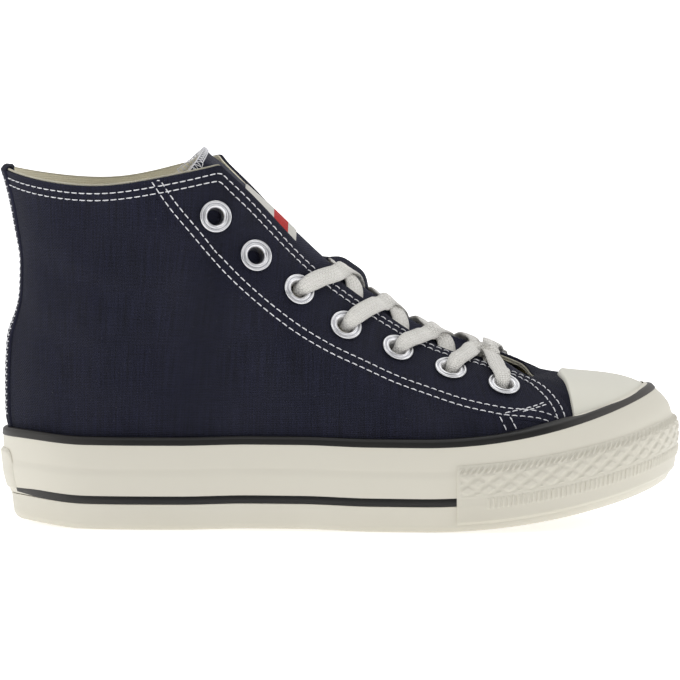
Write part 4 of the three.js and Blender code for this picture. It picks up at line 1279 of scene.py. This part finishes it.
def tongue_row(k):
    """Under the lateral eyestay, over the throat and under the medial eyestay."""
    sides = []
    for side in ("lateral", "medial"):
        s = np.array(round_share(k, side))
        tuck = np.interp(k, TONGUE_SHAPE["k"], TONGUE_SHAPE["tuck"])
        t = np.linspace(1 - tuck / float(wall_height(s)), 1, TUCK_COLUMNS)
        depth = np.interp(k, TONGUE_SHAPE["k"], TONGUE_SHAPE["depth"])
        sides.append(wall_at(s, t, np.full(TUCK_COLUMNS, -depth)))
    lateral, medial = sides
    a, b = lateral[-1], medial[-1]
    reach = np.linalg.norm(a - b) * np.interp(k, TONGUE_SHAPE["k"], TONGUE_SHAPE["fullness"])
    leave, arrive = a + unit(a - lateral[-2]) * reach, b + unit(b - medial[-2]) * reach
    u = np.linspace(0, 1, ARCH_COLUMNS)[1:-1, None]
    arch = (1 - u) ** 3 * a + 3 * u * (1 - u) ** 2 * leave + 3 * u * u * (1 - u) * arrive + u ** 3 * b
    return np.concatenate([lateral, arch, medial[::-1]])


def tongue_foot_row(x, half):
    places = []
    for y in np.linspace(-half, half, ARCH_COLUMNS - 2 + 2 * TUCK_COLUMNS):
        side = "lateral" if y < 0 else "medial"
        s, t = place_on_wall(lambda p: np.hypot(p[..., 0] - x, p[..., 1] - y), side)
        places.append(wall_at(np.array(s), np.array(t), -TONGUE_SHAPE["depth"][0]))
    return np.array(places)


def tongue_head_row(columns):
    share = np.linspace(-1, 1, columns)[:, None]
    peak, lateral, medial = (np.array(TONGUE_HEAD[key], float) for key in ("peak", "lateral", "medial"))
    side = np.where(share < 0, lateral, medial)
    away = np.abs(share)
    bend = np.concatenate([away ** 2.2, np.sin(away * math.pi / 2) ** 0.9, away ** 1.9], 1)
    return peak + (side - peak) * bend


def smooth_rows(keys, steps):
    """Rows of points filled in smoothly between key rows."""
    keys = np.array(keys)
    slopes = np.gradient(keys, axis=0)
    made = []
    for i, count in enumerate(steps):
        for f in np.arange(count) / count:
            made.append(hermite(keys[i], slopes[i], keys[i + 1], slopes[i + 1], f))
    return np.array([*made, keys[-1]])


def tongue_front():
    keys = [tongue_foot_row(**foot) for foot in TONGUE_FOOT]
    keys += [tongue_row(k) for k in np.linspace(*TONGUE_ROWS, 13)]
    keys.append(tongue_head_row(len(keys[0])))
    steps = [6] * (len(keys) - 2) + [24]
    return smooth_rows(keys, steps)


front = tongue_front()
tongue_rows, tongue_columns = front.shape[:2]
crest = tongue_columns // 2
tongue_out = unit(np.cross(np.gradient(front, axis=1), np.gradient(front, axis=0)))
tongue_out *= np.sign(tongue_out[tongue_rows // 2, crest, 2])


def rim_strips(face, back):
    """Strips that join a sheet to its back all round."""
    return end_strips(face, back) + end_strips(face.swapaxes(0, 1), back.swapaxes(0, 1))


def make_tongue():
    down = np.linspace(0, 1, tongue_rows)[:, None]
    side = np.abs(np.linspace(-1, 1, tongue_columns))[None, :]
    rim = np.sqrt(np.clip(1 - np.maximum(smooth(0.985, 1.0, down), smooth(0.96, 1.0, side)), 0, 1)) + 0 * down
    half = TONGUE_THICKNESS / 2
    face = front - tongue_out * (half * (1 - rim))[..., None]
    back = front - tongue_out * (TONGUE_THICKNESS - half * (1 - rim))[..., None]
    across = np.cumsum(np.linalg.norm(np.diff(front, axis=1, prepend=front[:, :1]), axis=2), 1)
    along = np.cumsum(np.linalg.norm(np.diff(front, axis=0, prepend=front[:1]), axis=2), 0)
    lengths = np.stack([across, along], -1)
    skin = quads(tongue_rows, tongue_columns)
    make_piece("padded_tongue", [
        (face, skin, lengths, 0),
        (back, skin[:, ::-1], lengths, 1),
        *rim_strips(face, back),
    ], [tongue_canvas, cream_drill], ["tongue"], weld=True)


tongue_canvas = cloth_material("tongue_canvas", (26, 27, 42), (56, 58, 82), thread=0.6, contrast=0.4,
                               slub=0.8, patches=0.03, flecks=0.1, sheen=0.08)
make_tongue()


def on_tongue(row, column, lift):
    """A point over the tongue's front at a fractional row and column."""
    r, c = np.clip(row, 0, tongue_rows - 1.001), np.clip(column, 0, tongue_columns - 1.001)
    i, j = np.floor(r).astype(int), np.floor(c).astype(int)
    f, g = (r - i)[..., None], (c - j)[..., None]
    blend = lambda v: mix(mix(v[i, j], v[i + 1, j], f), mix(v[i, j + 1], v[i + 1, j + 1], f), g)
    return blend(front) + unit(blend(tongue_out)) * np.asarray(lift, float)[..., None]


LABEL_PATCH = {"from_x": -17, "to_x": -37, "half": 11, "length": 26, "thickness": 0.45, "band": (0.14, 0.4)}


def crest_row(x):
    """The tongue's row whose crest passes x."""
    return float(np.interp(-x, -front[:, crest, 0], np.arange(tongue_rows)))


def make_label_patch():
    rows = np.linspace(crest_row(LABEL_PATCH["from_x"]), crest_row(LABEL_PATCH["to_x"]), 40)[:, None]
    lengths = lengths_along(front[int(rows.mean())])
    lengths -= lengths[crest]
    across = np.linspace(-LABEL_PATCH["half"], LABEL_PATCH["half"], 44)
    columns = np.interp(across, lengths, np.arange(tongue_columns))[None, :]
    rows, columns = np.broadcast_arrays(rows, columns)
    share = np.linspace(0, 1, rows.shape[0])[:, None]
    near_end = np.minimum(share, 1 - share) * (LABEL_PATCH["from_x"] - LABEL_PATCH["to_x"])
    edge = np.minimum(near_end, LABEL_PATCH["half"] - np.abs(across)[None, :])
    lift = 0.05 + LABEL_PATCH["thickness"] * np.sqrt(smooth(-0.05, 0.5, edge))
    face, back = on_tongue(rows, columns, lift), on_tongue(rows, columns, -0.1 + 0 * lift)
    cloth = np.stack(np.broadcast_arrays(across[None, :], share * LABEL_PATCH["length"]), -1)
    skin = quads(*rows.shape)
    start, end = LABEL_PATCH["band"]
    red = np.broadcast_to((share > start) & (share < end), rows.shape)[:-1, :-1].ravel()
    make_piece("woven_label", [
        (face, skin[~red], cloth, 0),
        (face, skin[red], cloth, 1),
        (back, skin[:, ::-1], cloth, 0),
        *rim_strips(face, back),
    ], [label_white, label_red], weld=True)


def label_cloth(name, colour, thread_colour):
    return cloth_material(name, colour, thread_colour, thread=0.4, contrast=0.3, slub=0.3, patches=0.02,
                          flecks=0.0, sheen=0.1, depth=0.06)


label_white = label_cloth("label_white", (205, 203, 196), (226, 224, 218))
label_red = label_cloth("label_red", (176, 38, 36), (204, 60, 54))
make_label_patch()

# ---------------------------------------------------------------- eyelets
# Seven nickel-plated eyelets a side, each a spun ring with a rolled rim, a groove and a funnel down to its
# barrel, which is pressed through both plies and spread over a flat washer inside.
RING_PROFILE = [(5.2, 0.3), (6.05, 0.28), (6.25, 0.4), (6.34, 0.62), (6.3, 0.86), (6.15, 1.06), (5.9, 1.18),
                (5.62, 1.2), (5.4, 1.02), (5.28, 0.76), (5.14, 0.55), (5.0, 0.68), (4.86, 0.92), (4.68, 1.1),
                (4.45, 1.2), (4.2, 1.16), (3.95, 1.04), (3.7, 0.82), (3.48, 0.52), (3.3, 0.16), (3.16, -0.3),
                (3.06, -0.9), (3.0, -2.9), (3.1, -3.3), (3.6, -3.5), (4.6, -3.45),
                (5.0, -3.2), (4.95, -2.9), (4.5, -2.8), (3.6, -2.75), (3.55, -1.0), (3.6, 0.3)]
RING_ON_CLOTH = 0.65


def nickel_material():
    material, nodes, links = new_material("plated_nickel")
    shader = nodes["Principled BSDF"]
    tree = material.node_tree
    cloud = noise(tree, 260, 2)
    colour = mix_colours(tree, cloud, linear(232, 232, 234), linear(218, 218, 221))
    links.new(colour, shader.inputs["Base Color"])
    links.new(math_node(tree, "MULTIPLY_ADD", cloud, 0.05, 0.3), shader.inputs["Roughness"])
    shader.inputs["Metallic"].default_value = 1.0
    return material


def make_eyelets():
    turn = np.linspace(0, 2 * math.pi, 72, endpoint=False)
    profile = np.array(RING_PROFILE)
    for (side, row), place in eyelets.items():
        level, up = upright_axes(place["normal"])
        out = place["normal"]
        radius, height = profile[:, 0], profile[:, 1] + np.where(profile[:, 1] > 0, RING_ON_CLOTH, 0)
        ring = (place["at"] + out * height[:, None, None]
                + radius[:, None, None] * (np.cos(turn)[:, None] * level + np.sin(turn)[:, None] * up))
        faces = quads(len(profile), len(turn), closed_rows=True, closed_columns=True)
        make_piece(f"ring_{side}_{row}", [(ring, faces, None, 0)], [plated_nickel],
                   [f"eyelet_{side}_{row}"], sharp=60)


plated_nickel = nickel_material()
make_eyelets()

# ---------------------------------------------------------------- lace
# One flat cotton lace, 7 mm wide, woven as a soft tube. It lies straight over the lowest pair of eyelets
# and goes into them from outside, then criss-crosses over the throat up to the third pair. Its ends are
# tucked inside.
LACE = {"width": 7.4, "thickness": 1.5, "step": 0.45, "sides": 26, "lift": 0.95, "edge_lift": 1.4,
        "rib": 0.05, "rib_pitch": 1.35, "cup": 3.6, "round": 2.6}
# The upper row of eyelets of each crossing, and how far ahead of its eyelets a run passes over and under
# the edges.
CROSSINGS = [
    {"row": 3, "over": 13, "under": 5},
    {"row": 4, "over": 11.3, "under": 3},
    {"row": 5, "over": 9.5, "under": 0},
    {"row": 6, "over": 6.5, "under": -3},
]
# From over an eyelet's rim down its hole: how far towards the throat, how far out of the cloth, where its
# face looks (outwards, towards the throat) and the share of its width.
INTO_HOLE = [(6.4, 2.75, (1, 0), 0.98), (3.6, 2.9, (1, -0.25), 0.9), (1.4, 1.6, (0.75, -1), 0.78),
             (0.6, -0.6, (0.2, -1), 0.7), (0.6, -3.4, (0, -1), 0.7), (1.8, -5, (-1, -1), 0.8)]
OVER_STAY = {"edge": 0.985, "edge_lift": 2.6, "middle": 0.62, "middle_lift": 2.5}
# From beneath the throat's edge to under the eyelet: share of the way, and how far out of the last.
UNDER_STAY = [(0, -3.3), (0.3, -3.5), (0.65, -4.3), (1, -5.2)]
STAY_RISE = 2  # how much higher the lace that raises the medial eyestay lies
OVER_TONGUE = [(0.3, 0.5), (0.55, 0), (0.85, -0.45)]  # share of the way, and aside of the tongue's crest
BAR = {"behind": 4, "middle": 4.5, "lift": 2.9, "aside": 0.45}
OTHER = {"lateral": "medial", "medial": "lateral"}


def edge_share(x, side):
    """Where the top edge passes x on one side of the throat."""
    k = np.linspace(1.6, 10, 400)
    edge = wall(round_share(k, side), np.ones(400))[:, 0]
    return float(round_share(np.interp(-x, -edge, k), side))


def knot(at, up, width=1.0):
    return {"at": np.asarray(at, float), "up": np.asarray(up, float), "width": width}


def wall_knot(s, t, lift, width=1.0):
    s, t = np.array(s), np.array(t)
    return knot(wall_at(s, t, lift), wall_normal(s, t), width)


def tongue_knot(x, lift, aside=0.0):
    """Over the tongue at x, share aside of the way from its crest to the edge of the arch."""
    column = crest + aside * ARCH_COLUMNS / 2
    rows = np.arange(tongue_rows)
    at = on_tongue(rows.astype(float), np.full(tongue_rows, column), np.full(tongue_rows, float(lift)))
    row = np.interp(-x, -at[:, 0], rows)
    up = tongue_out[min(int(round(row)), tongue_rows - 1), int(round(column))]
    return knot(on_tongue(np.array(row), np.array(column), float(lift)), up)


def into_hole(place, towards):
    """Down through an eyelet, coming from a point towards the throat."""
    out = place["normal"]
    away = unit(towards - place["at"])
    away = unit(away - out * (away @ out))
    return [knot(place["at"] + away * ahead + out * height, unit(out * facing[0] + away * facing[1]), width)
            for ahead, height, facing, width in INTO_HOLE]


def over_stay(place, edge_x):
    """Knots from inside an eyelet, out of its hole and over the eyestay to the throat's edge."""
    s, t, share = edge_share(edge_x, place["side"]), OVER_STAY["edge"], OVER_STAY["middle"]
    middle = wall_knot(mix(place["s"], s, share), mix(place["t"], t, share), OVER_STAY["middle_lift"])
    return [*into_hole(place, middle["at"])[::-1], middle, wall_knot(s, t, OVER_STAY["edge_lift"])]


def under_stay(place, edge_x, rise):
    """Knots from beneath the throat's edge, raised by rise there, back to under an eyelet."""
    s = edge_share(edge_x, place["side"])
    lifts = [lift + (rise if share == 0 else 0) for share, lift in UNDER_STAY]
    return [wall_knot(mix(s, place["s"], share), mix(1.0, place["t"], share), lift)
            for (share, _), lift in zip(UNDER_STAY, lifts)]


def lace_run(side, row, over, under):
    start, end = eyelets[side, row], eyelets[OTHER[side], row + 1]
    over_x, under_x = float(start["at"][0]) + over, float(end["at"][0]) + under
    sign = -1 if side == "lateral" else 1
    middle_lift = LACE["lift"] + (LACE["thickness"] if side == "lateral" else 0)
    rise = STAY_RISE if (side, row) == ("lateral", 3) else 0
    lifts = (max(middle_lift, LACE["edge_lift"]), middle_lift, LACE["lift"] + rise)
    over_tongue = [tongue_knot(mix(over_x, under_x, share), lift, aside * sign)
                   for (share, aside), lift in zip(OVER_TONGUE, lifts)]
    return [*over_stay(start, over_x), *over_tongue, *under_stay(end, under_x, rise)]


def lace_bar():
    lateral, medial = eyelets["lateral", 7], eyelets["medial", 7]
    begin, finish = (over_stay(place, float(place["at"][0]) - BAR["behind"]) for place in (lateral, medial))
    middle = float(lateral["at"][0]) - BAR["middle"]
    over = [tongue_knot(middle, BAR["lift"], aside) for aside in (-BAR["aside"], 0, BAR["aside"])]
    return [*begin, *over, *finish[::-1]]


def curve_through(values, step):
    """Values every step along a centripetal curve through knots, whose first three columns are places, and
    how far along it each of them is."""
    gaps = np.sqrt(np.linalg.norm(np.diff(values[:, :3], axis=0), axis=1))
    u = np.concatenate([[0], np.cumsum(gaps)])
    before, after = gaps[:-1, None], gaps[1:, None]
    slopes = np.empty_like(values)
    slopes[1:-1] = ((values[1:-1] - values[:-2]) / before * after
                    + (values[2:] - values[1:-1]) / after * before) / (before + after)
    slopes[0], slopes[-1] = (values[1] - values[0]) / gaps[0], (values[-1] - values[-2]) / gaps[-1]

    def at(w):
        i = np.clip(np.searchsorted(u, w, "right") - 1, 0, len(values) - 2)
        h = (u[i + 1] - u[i])[:, None]
        return hermite(values[i], slopes[i] * h, values[i + 1], slopes[i + 1] * h, (w - u[i])[:, None] / h)

    fine = np.linspace(0, u[-1], 800)
    reach = lengths_along(at(fine)[:, :3])
    along = np.linspace(0, reach[-1], int(reach[-1] / step))
    return at(np.interp(along, reach, fine)), along


def flat_lace(knots):
    """A soft flat cord through knots, fullest in its middle, and cupped where it is narrow."""
    made, reach = curve_through(np.array([[*k["at"], *k["up"], k["width"]] for k in knots]), LACE["step"])
    path, up, width = made[:, :3], unit(made[:, 3:6]), made[:, 6:]
    along = unit(np.gradient(path, axis=0))
    across = unit(np.cross(along, up))
    lift = np.cross(across, along)
    turn = np.linspace(0, 2 * math.pi, LACE["sides"], endpoint=False)[None, :]
    c, s = np.cos(turn), np.sin(turn)
    flat_x = np.sign(c) * np.abs(c) ** 0.8
    flat_z = np.sign(s) * np.abs(s) ** 0.75 * LACE["thickness"] / 2
    rib = 1 + LACE["rib"] * np.sin(reach * 2 * math.pi / LACE["rib_pitch"])[:, None]
    rise = flat_z * rib * (1 + 0.5 * (1 - width)) - LACE["cup"] * (1 - width) * flat_x ** 2
    ring = (path[:, None] + across[:, None] * (flat_x * LACE["width"] / 2 * width)[..., None]
            + lift[:, None] * rise[..., None])
    return bar_sheets(ring, np.stack(np.broadcast_arrays(reach[:, None], turn * LACE["round"]), -1))


cotton_braid = cloth_material("cotton_braid", (238, 235, 228), (252, 251, 248), thread=0.75, contrast=0.45,
                              slub=0.5, patches=0.15, flecks=0.0, sheen=0.25, depth=0.28, gloss=0.2,
                              lint_colour=(190, 186, 174))


def make_lace():
    runs = [lace_run(side, **crossing) for crossing in CROSSINGS for side in ("lateral", "medial")]
    sheets = [sheet for knots in [*runs, lace_bar()] for sheet in flat_lace(knots)]
    crossings = [f"lace_crossing_{crossing['row']}" for crossing in CROSSINGS]
    make_piece("flat_lace", sheets, [cotton_braid], [*crossings, "lace_bar"], sharp=60, weld=True)


make_lace()

# ---------------------------------------------------------------- stitching
# All the seams are sewn with one thick off-white thread, in stitches about three millimetres long, each drawn
# down into the cloth at its ends: two rows round the collar and throat, two behind the eyestays, the tacks at
# their feet, and the overlock along the heel tape and the tongue's head.
STITCH = {"pitch": 3.1, "length": 2.45, "width": 0.48, "height": 0.4}
# Along one stitch: share of its length, how high it stands and how full it is there.
STITCH_SHAPE = {"along": [0, 0.1, 0.3, 0.5, 0.7, 0.9, 1], "rise": [-0.55, 0.05, 0.5, 0.62, 0.5, 0.05, -0.55],
                "full": [0.45, 0.85, 1, 1, 1, 0.85, 0.45]}
ROW_STEPS = 900
EASE = {"reach": 8, "spread": 36}  # how softly the rows round the corner between collar and throat
# How far inside the collar's and the throat's edge each row runs, k sections from the toe tip.
EDGE_ROWS = {"k": [5, 6.2, 7.2, 7.8, 8.3, 9.2, 10.4, 13.6], "outer": [2.6, 4, 4.4, 3.7, 2.8, 2.6, 3, 2.7],
             "inner": [5.6, 6.9, 7.3, 6.8, 5.9, 5.6, 5.7, 5.5]}
REAR_ROWS = (-1.6, -4.7)  # ahead of the eyestay's rear edge
COLLAR_LINE = [(13.62, 1), (12.6, 1), (11.6, 1)]
TACKS = [[(3.62, 0.364), (3.1, 0.43), (2.7, 0.49)], [(3.28, 0.385), (2.95, 0.43), (2.68, 0.465)],
         [(3.72, 0.345), (3.66, 0.25), (3.54, 0.08)], [(3.54, 0.34), (3.48, 0.25), (3.36, 0.08)]]
TACK_PITCH = 2.75
CLEAR_OF_FOXING = 0.6


def thread_material():
    material, nodes, links = new_material("sewing_thread")
    shader = nodes["Principled BSDF"]
    tree = material.node_tree
    cloud = noise(tree, 900, 3)
    colour = mix_colours(tree, cloud, linear(218, 218, 222), linear(242, 242, 246))
    links.new(colour, shader.inputs["Base Color"])
    links.new(math_node(tree, "MULTIPLY_ADD", cloud, 0.2, 0.55), shader.inputs["Roughness"])
    add_bump(material, noise(tree, 5000, 1), 0.00005)
    return material


sewing_thread = thread_material()


def stitch_sheet(starts, ends, ups, width, height):
    """Small raised threads from starts to ends, their tips drawn into the cloth."""
    steps, rise, full = (np.array(STITCH_SHAPE[key])[None, :, None] for key in ("along", "rise", "full"))
    turn = np.linspace(0, 2 * math.pi, 6, endpoint=False)
    across = unit(np.cross(unit(ends - starts), ups))
    path = starts[:, None] + (ends - starts)[:, None] * steps + ups[:, None] * rise * height
    aside = (full * np.cos(turn) * width / 2)[..., None]
    above = (full * np.sin(turn) * height / 2)[..., None]
    ring = path[:, :, None] + across[:, None, None] * aside + ups[:, None, None] * above
    count, rows, sides = ring.shape[:3]
    one = quads(rows, sides, closed_columns=True)
    faces = (one[None] + (np.arange(count) * rows * sides)[:, None, None]).reshape(-1, 4)
    caps = [[i * rows * sides + j for j in range(sides)][::-1] for i in range(count)]
    caps += [[i * rows * sides + (rows - 1) * sides + j for j in range(sides)] for i in range(count)]
    return [(ring, faces, None, 0), (ring, caps, None, 0)]


def read_at(at, reach, values):
    """The rows of values, known at each reach, read at others."""
    return np.stack([np.interp(at, reach, values[:, axis]) for axis in range(values.shape[1])], -1)


def stitches_along(k_t, side, lift, pitch=STITCH["pitch"]):
    """Running stitches along a row on the wall, its places given as sections and shares up the wall."""
    s, t = round_share(k_t[:, 0], side), np.clip(k_t[:, 1], 0, 1)
    path, ups = cloth_at(s, t, lift + 0 * s), wall_normal(s, t)
    reach = lengths_along(path)
    count = max(1, int(reach[-1] / pitch))
    middle = (np.arange(count) + 0.5) * reach[-1] / count
    half = STITCH["length"] / 2
    first, last = (read_at(middle + shift, reach, path) for shift in (-half, half))
    return stitch_sheet(first, last, unit(read_at(middle, reach, ups)), STITCH["width"], STITCH["height"])


def shifted(k_t, side, distance):
    """The row moved sideways over the wall by a distance: positive is away from the throat."""
    k_t = k_t.copy()
    for _ in range(4):
        s, t = round_share(k_t[:, 0], side), k_t[:, 1]
        path = wall(s, np.clip(t, 0, 1))
        sign = 1 if side == "lateral" else -1
        along = unit(np.gradient(path, axis=0)) * sign
        move = unit(np.cross(along, wall_normal(s, t))) * distance / 4
        per_k = (wall(s + NEAR, t) - wall(s - NEAR, t)) / (2 * NEAR) / COUNT * sign
        per_t = (wall(s, t + NEAR) - wall(s, t - NEAR)) / (2 * NEAR)
        a, b, c = (per_k * per_k).sum(1), (per_k * per_t).sum(1), (per_t * per_t).sum(1)
        p, q = (per_k * move).sum(1), (per_t * move).sum(1)
        k_t[:, 0] += (c * p - b * q) / (a * c - b * b)
        k_t[:, 1] += (a * q - b * p) / (a * c - b * b)
    return k_t


def rounded_row(edge, row, side, distance):
    """The row without the loops it makes inside a corner, drawn evenly and its corners eased."""
    outer = wall(round_share(edge[:, 0], side), np.clip(edge[:, 1], 0, 1))
    inner = wall(round_share(row[:, 0], side), np.clip(row[:, 1], 0, 1))
    clear = np.array([np.linalg.norm(outer - point, axis=1).min() for point in inner]) > distance * 0.95
    reach = lengths_along(inner[clear])
    even = read_at(np.linspace(0, reach[-1], ROW_STEPS), reach, row[clear])
    spread = EASE["spread"]
    weights = np.exp(-(np.arange(-spread, spread + 1) * reach[-1] / ROW_STEPS / EASE["reach"]) ** 2)
    padded = np.pad(even, ((spread, spread), (0, 0)), mode="reflect", reflect_type="odd")
    return np.stack([np.convolve(padded[:, axis], weights / weights.sum(), "valid") for axis in (0, 1)], -1)


def foxing_reach(k_t, side):
    """The part of a row that stands clear of the foxing."""
    s = round_share(k_t[:, 0], side)
    points = wall(s, np.clip(k_t[:, 1], 0, 1))
    return k_t[points[:, 2] > foxing_top_z(points[:, 0]) + CLEAR_OF_FOXING]


def sew_side(side):
    sheets = []
    edge = through(COLLAR_LINE + STAY_FRONT, ROW_STEPS)
    for name in ("outer", "inner"):
        distance = np.interp(edge[:, 0], EDGE_ROWS["k"], EDGE_ROWS[name])
        row = foxing_reach(rounded_row(edge, shifted(edge, side, distance[:, None]), side, distance), side)
        lift = mix(STAY_EDGE + 0.05, 0.12, smooth(10.75, 10.85, row[:, 0]))
        sheets += stitches_along(row, side, lift)
    rear = stay_rears[side][2:]
    for distance in REAR_ROWS:
        sheets += stitches_along(foxing_reach(shifted(rear, side, distance), side), side, STAY_BACK + 0.1)
    for tack in TACKS:
        sheets += stitches_along(foxing_reach(through(tack, 60), side), side, STAY_BACK + 0.15, TACK_PITCH)
    make_piece(f"stitches_{side}", sheets, [sewing_thread], sharp=80)


for side in ("lateral", "medial"):
    sew_side(side)


# Overlock on both edges of the heel tape, at shares of its half width: a chain on the inner line, and slanted
# threads from it to the outer one.
OVERLOCK = {"rows": (0.12, 0.985), "inner": 0.62, "face": 0.7, "outer": 0.8, "lift": 0.1, "pitch": 2.6,
            "chain": {"long": 2.1, "width": 0.75, "height": 0.5},
            "slant": {"long": 0.5, "width": 0.55, "height": 0.45}}
# Zigzag overlock round the tongue's head, from a chain some rows down each face over the edge.
ZIGZAG = {"turns": 28, "rows": 7, "thread": 0.36, "lift": 0.3, "edge": 0.85, "beyond": 0.2}


def sew_heel():
    sheets = []
    t = np.linspace(*OVERLOCK["rows"], 300)
    lift = np.full(len(t), TAPE["thickness"] + OVERLOCK["lift"])
    for sign in (-1, 1):
        inner, outer = (cloth_at(0.5 + sign * tape_reach(t) * OVERLOCK[key], t, lift)
                        for key in ("inner", "outer"))
        ups = wall_normal(0.5 + sign * tape_reach(t) * OVERLOCK["face"], t)
        reach = lengths_along(inner)
        at = np.arange(0, reach[-1] - 2, OVERLOCK["pitch"])
        starts, rise = read_at(at, reach, inner), read_at(at, reach, ups)
        for kind, line in (("chain", inner), ("slant", outer)):
            thread = OVERLOCK[kind]
            ends = read_at(at + thread["long"], reach, line)
            sheets += stitch_sheet(starts, ends, rise, thread["width"], thread["height"])
    make_piece("stitches_heel", sheets, [sewing_thread], sharp=80)


def sew_tongue():
    columns = np.linspace(1.5, tongue_columns - 2.5, ZIGZAG["turns"])
    last, foot = tongue_rows - 1, tongue_rows - 1 - ZIGZAG["rows"]
    half = 0.5 * (columns[1] - columns[0])

    def across(row, lift, shift=0.0):
        return on_tongue(np.full(len(columns), float(row)), columns + shift, np.full(len(columns), lift))

    out = unit(across(last, 1.0) - across(last, 0.0))
    beyond = unit(across(last, 0.0) - across(foot, 0.0))
    sheets, rims = [], []
    for face, ups in ((ZIGZAG["lift"], out), (-TONGUE_THICKNESS - ZIGZAG["lift"], -out)):
        down = across(foot, face, half)
        rim = across(last, face * ZIGZAG["edge"]) + beyond * ZIGZAG["beyond"]
        rims.append(rim)
        sheets += stitch_sheet(down, rim, ups, ZIGZAG["thread"], ZIGZAG["thread"])
        for starts, ends in ((down[:-1], rim[1:]), (down[:-1], down[1:]), (rim[:-1], rim[1:])):
            sheets += stitch_sheet(starts, ends, ups[1:], ZIGZAG["thread"], ZIGZAG["thread"])
    sheets += stitch_sheet(*rims, beyond, ZIGZAG["thread"], ZIGZAG["thread"])
    make_piece("stitches_tongue", sheets, [sewing_thread], sharp=80)


sew_heel()
sew_tongue()
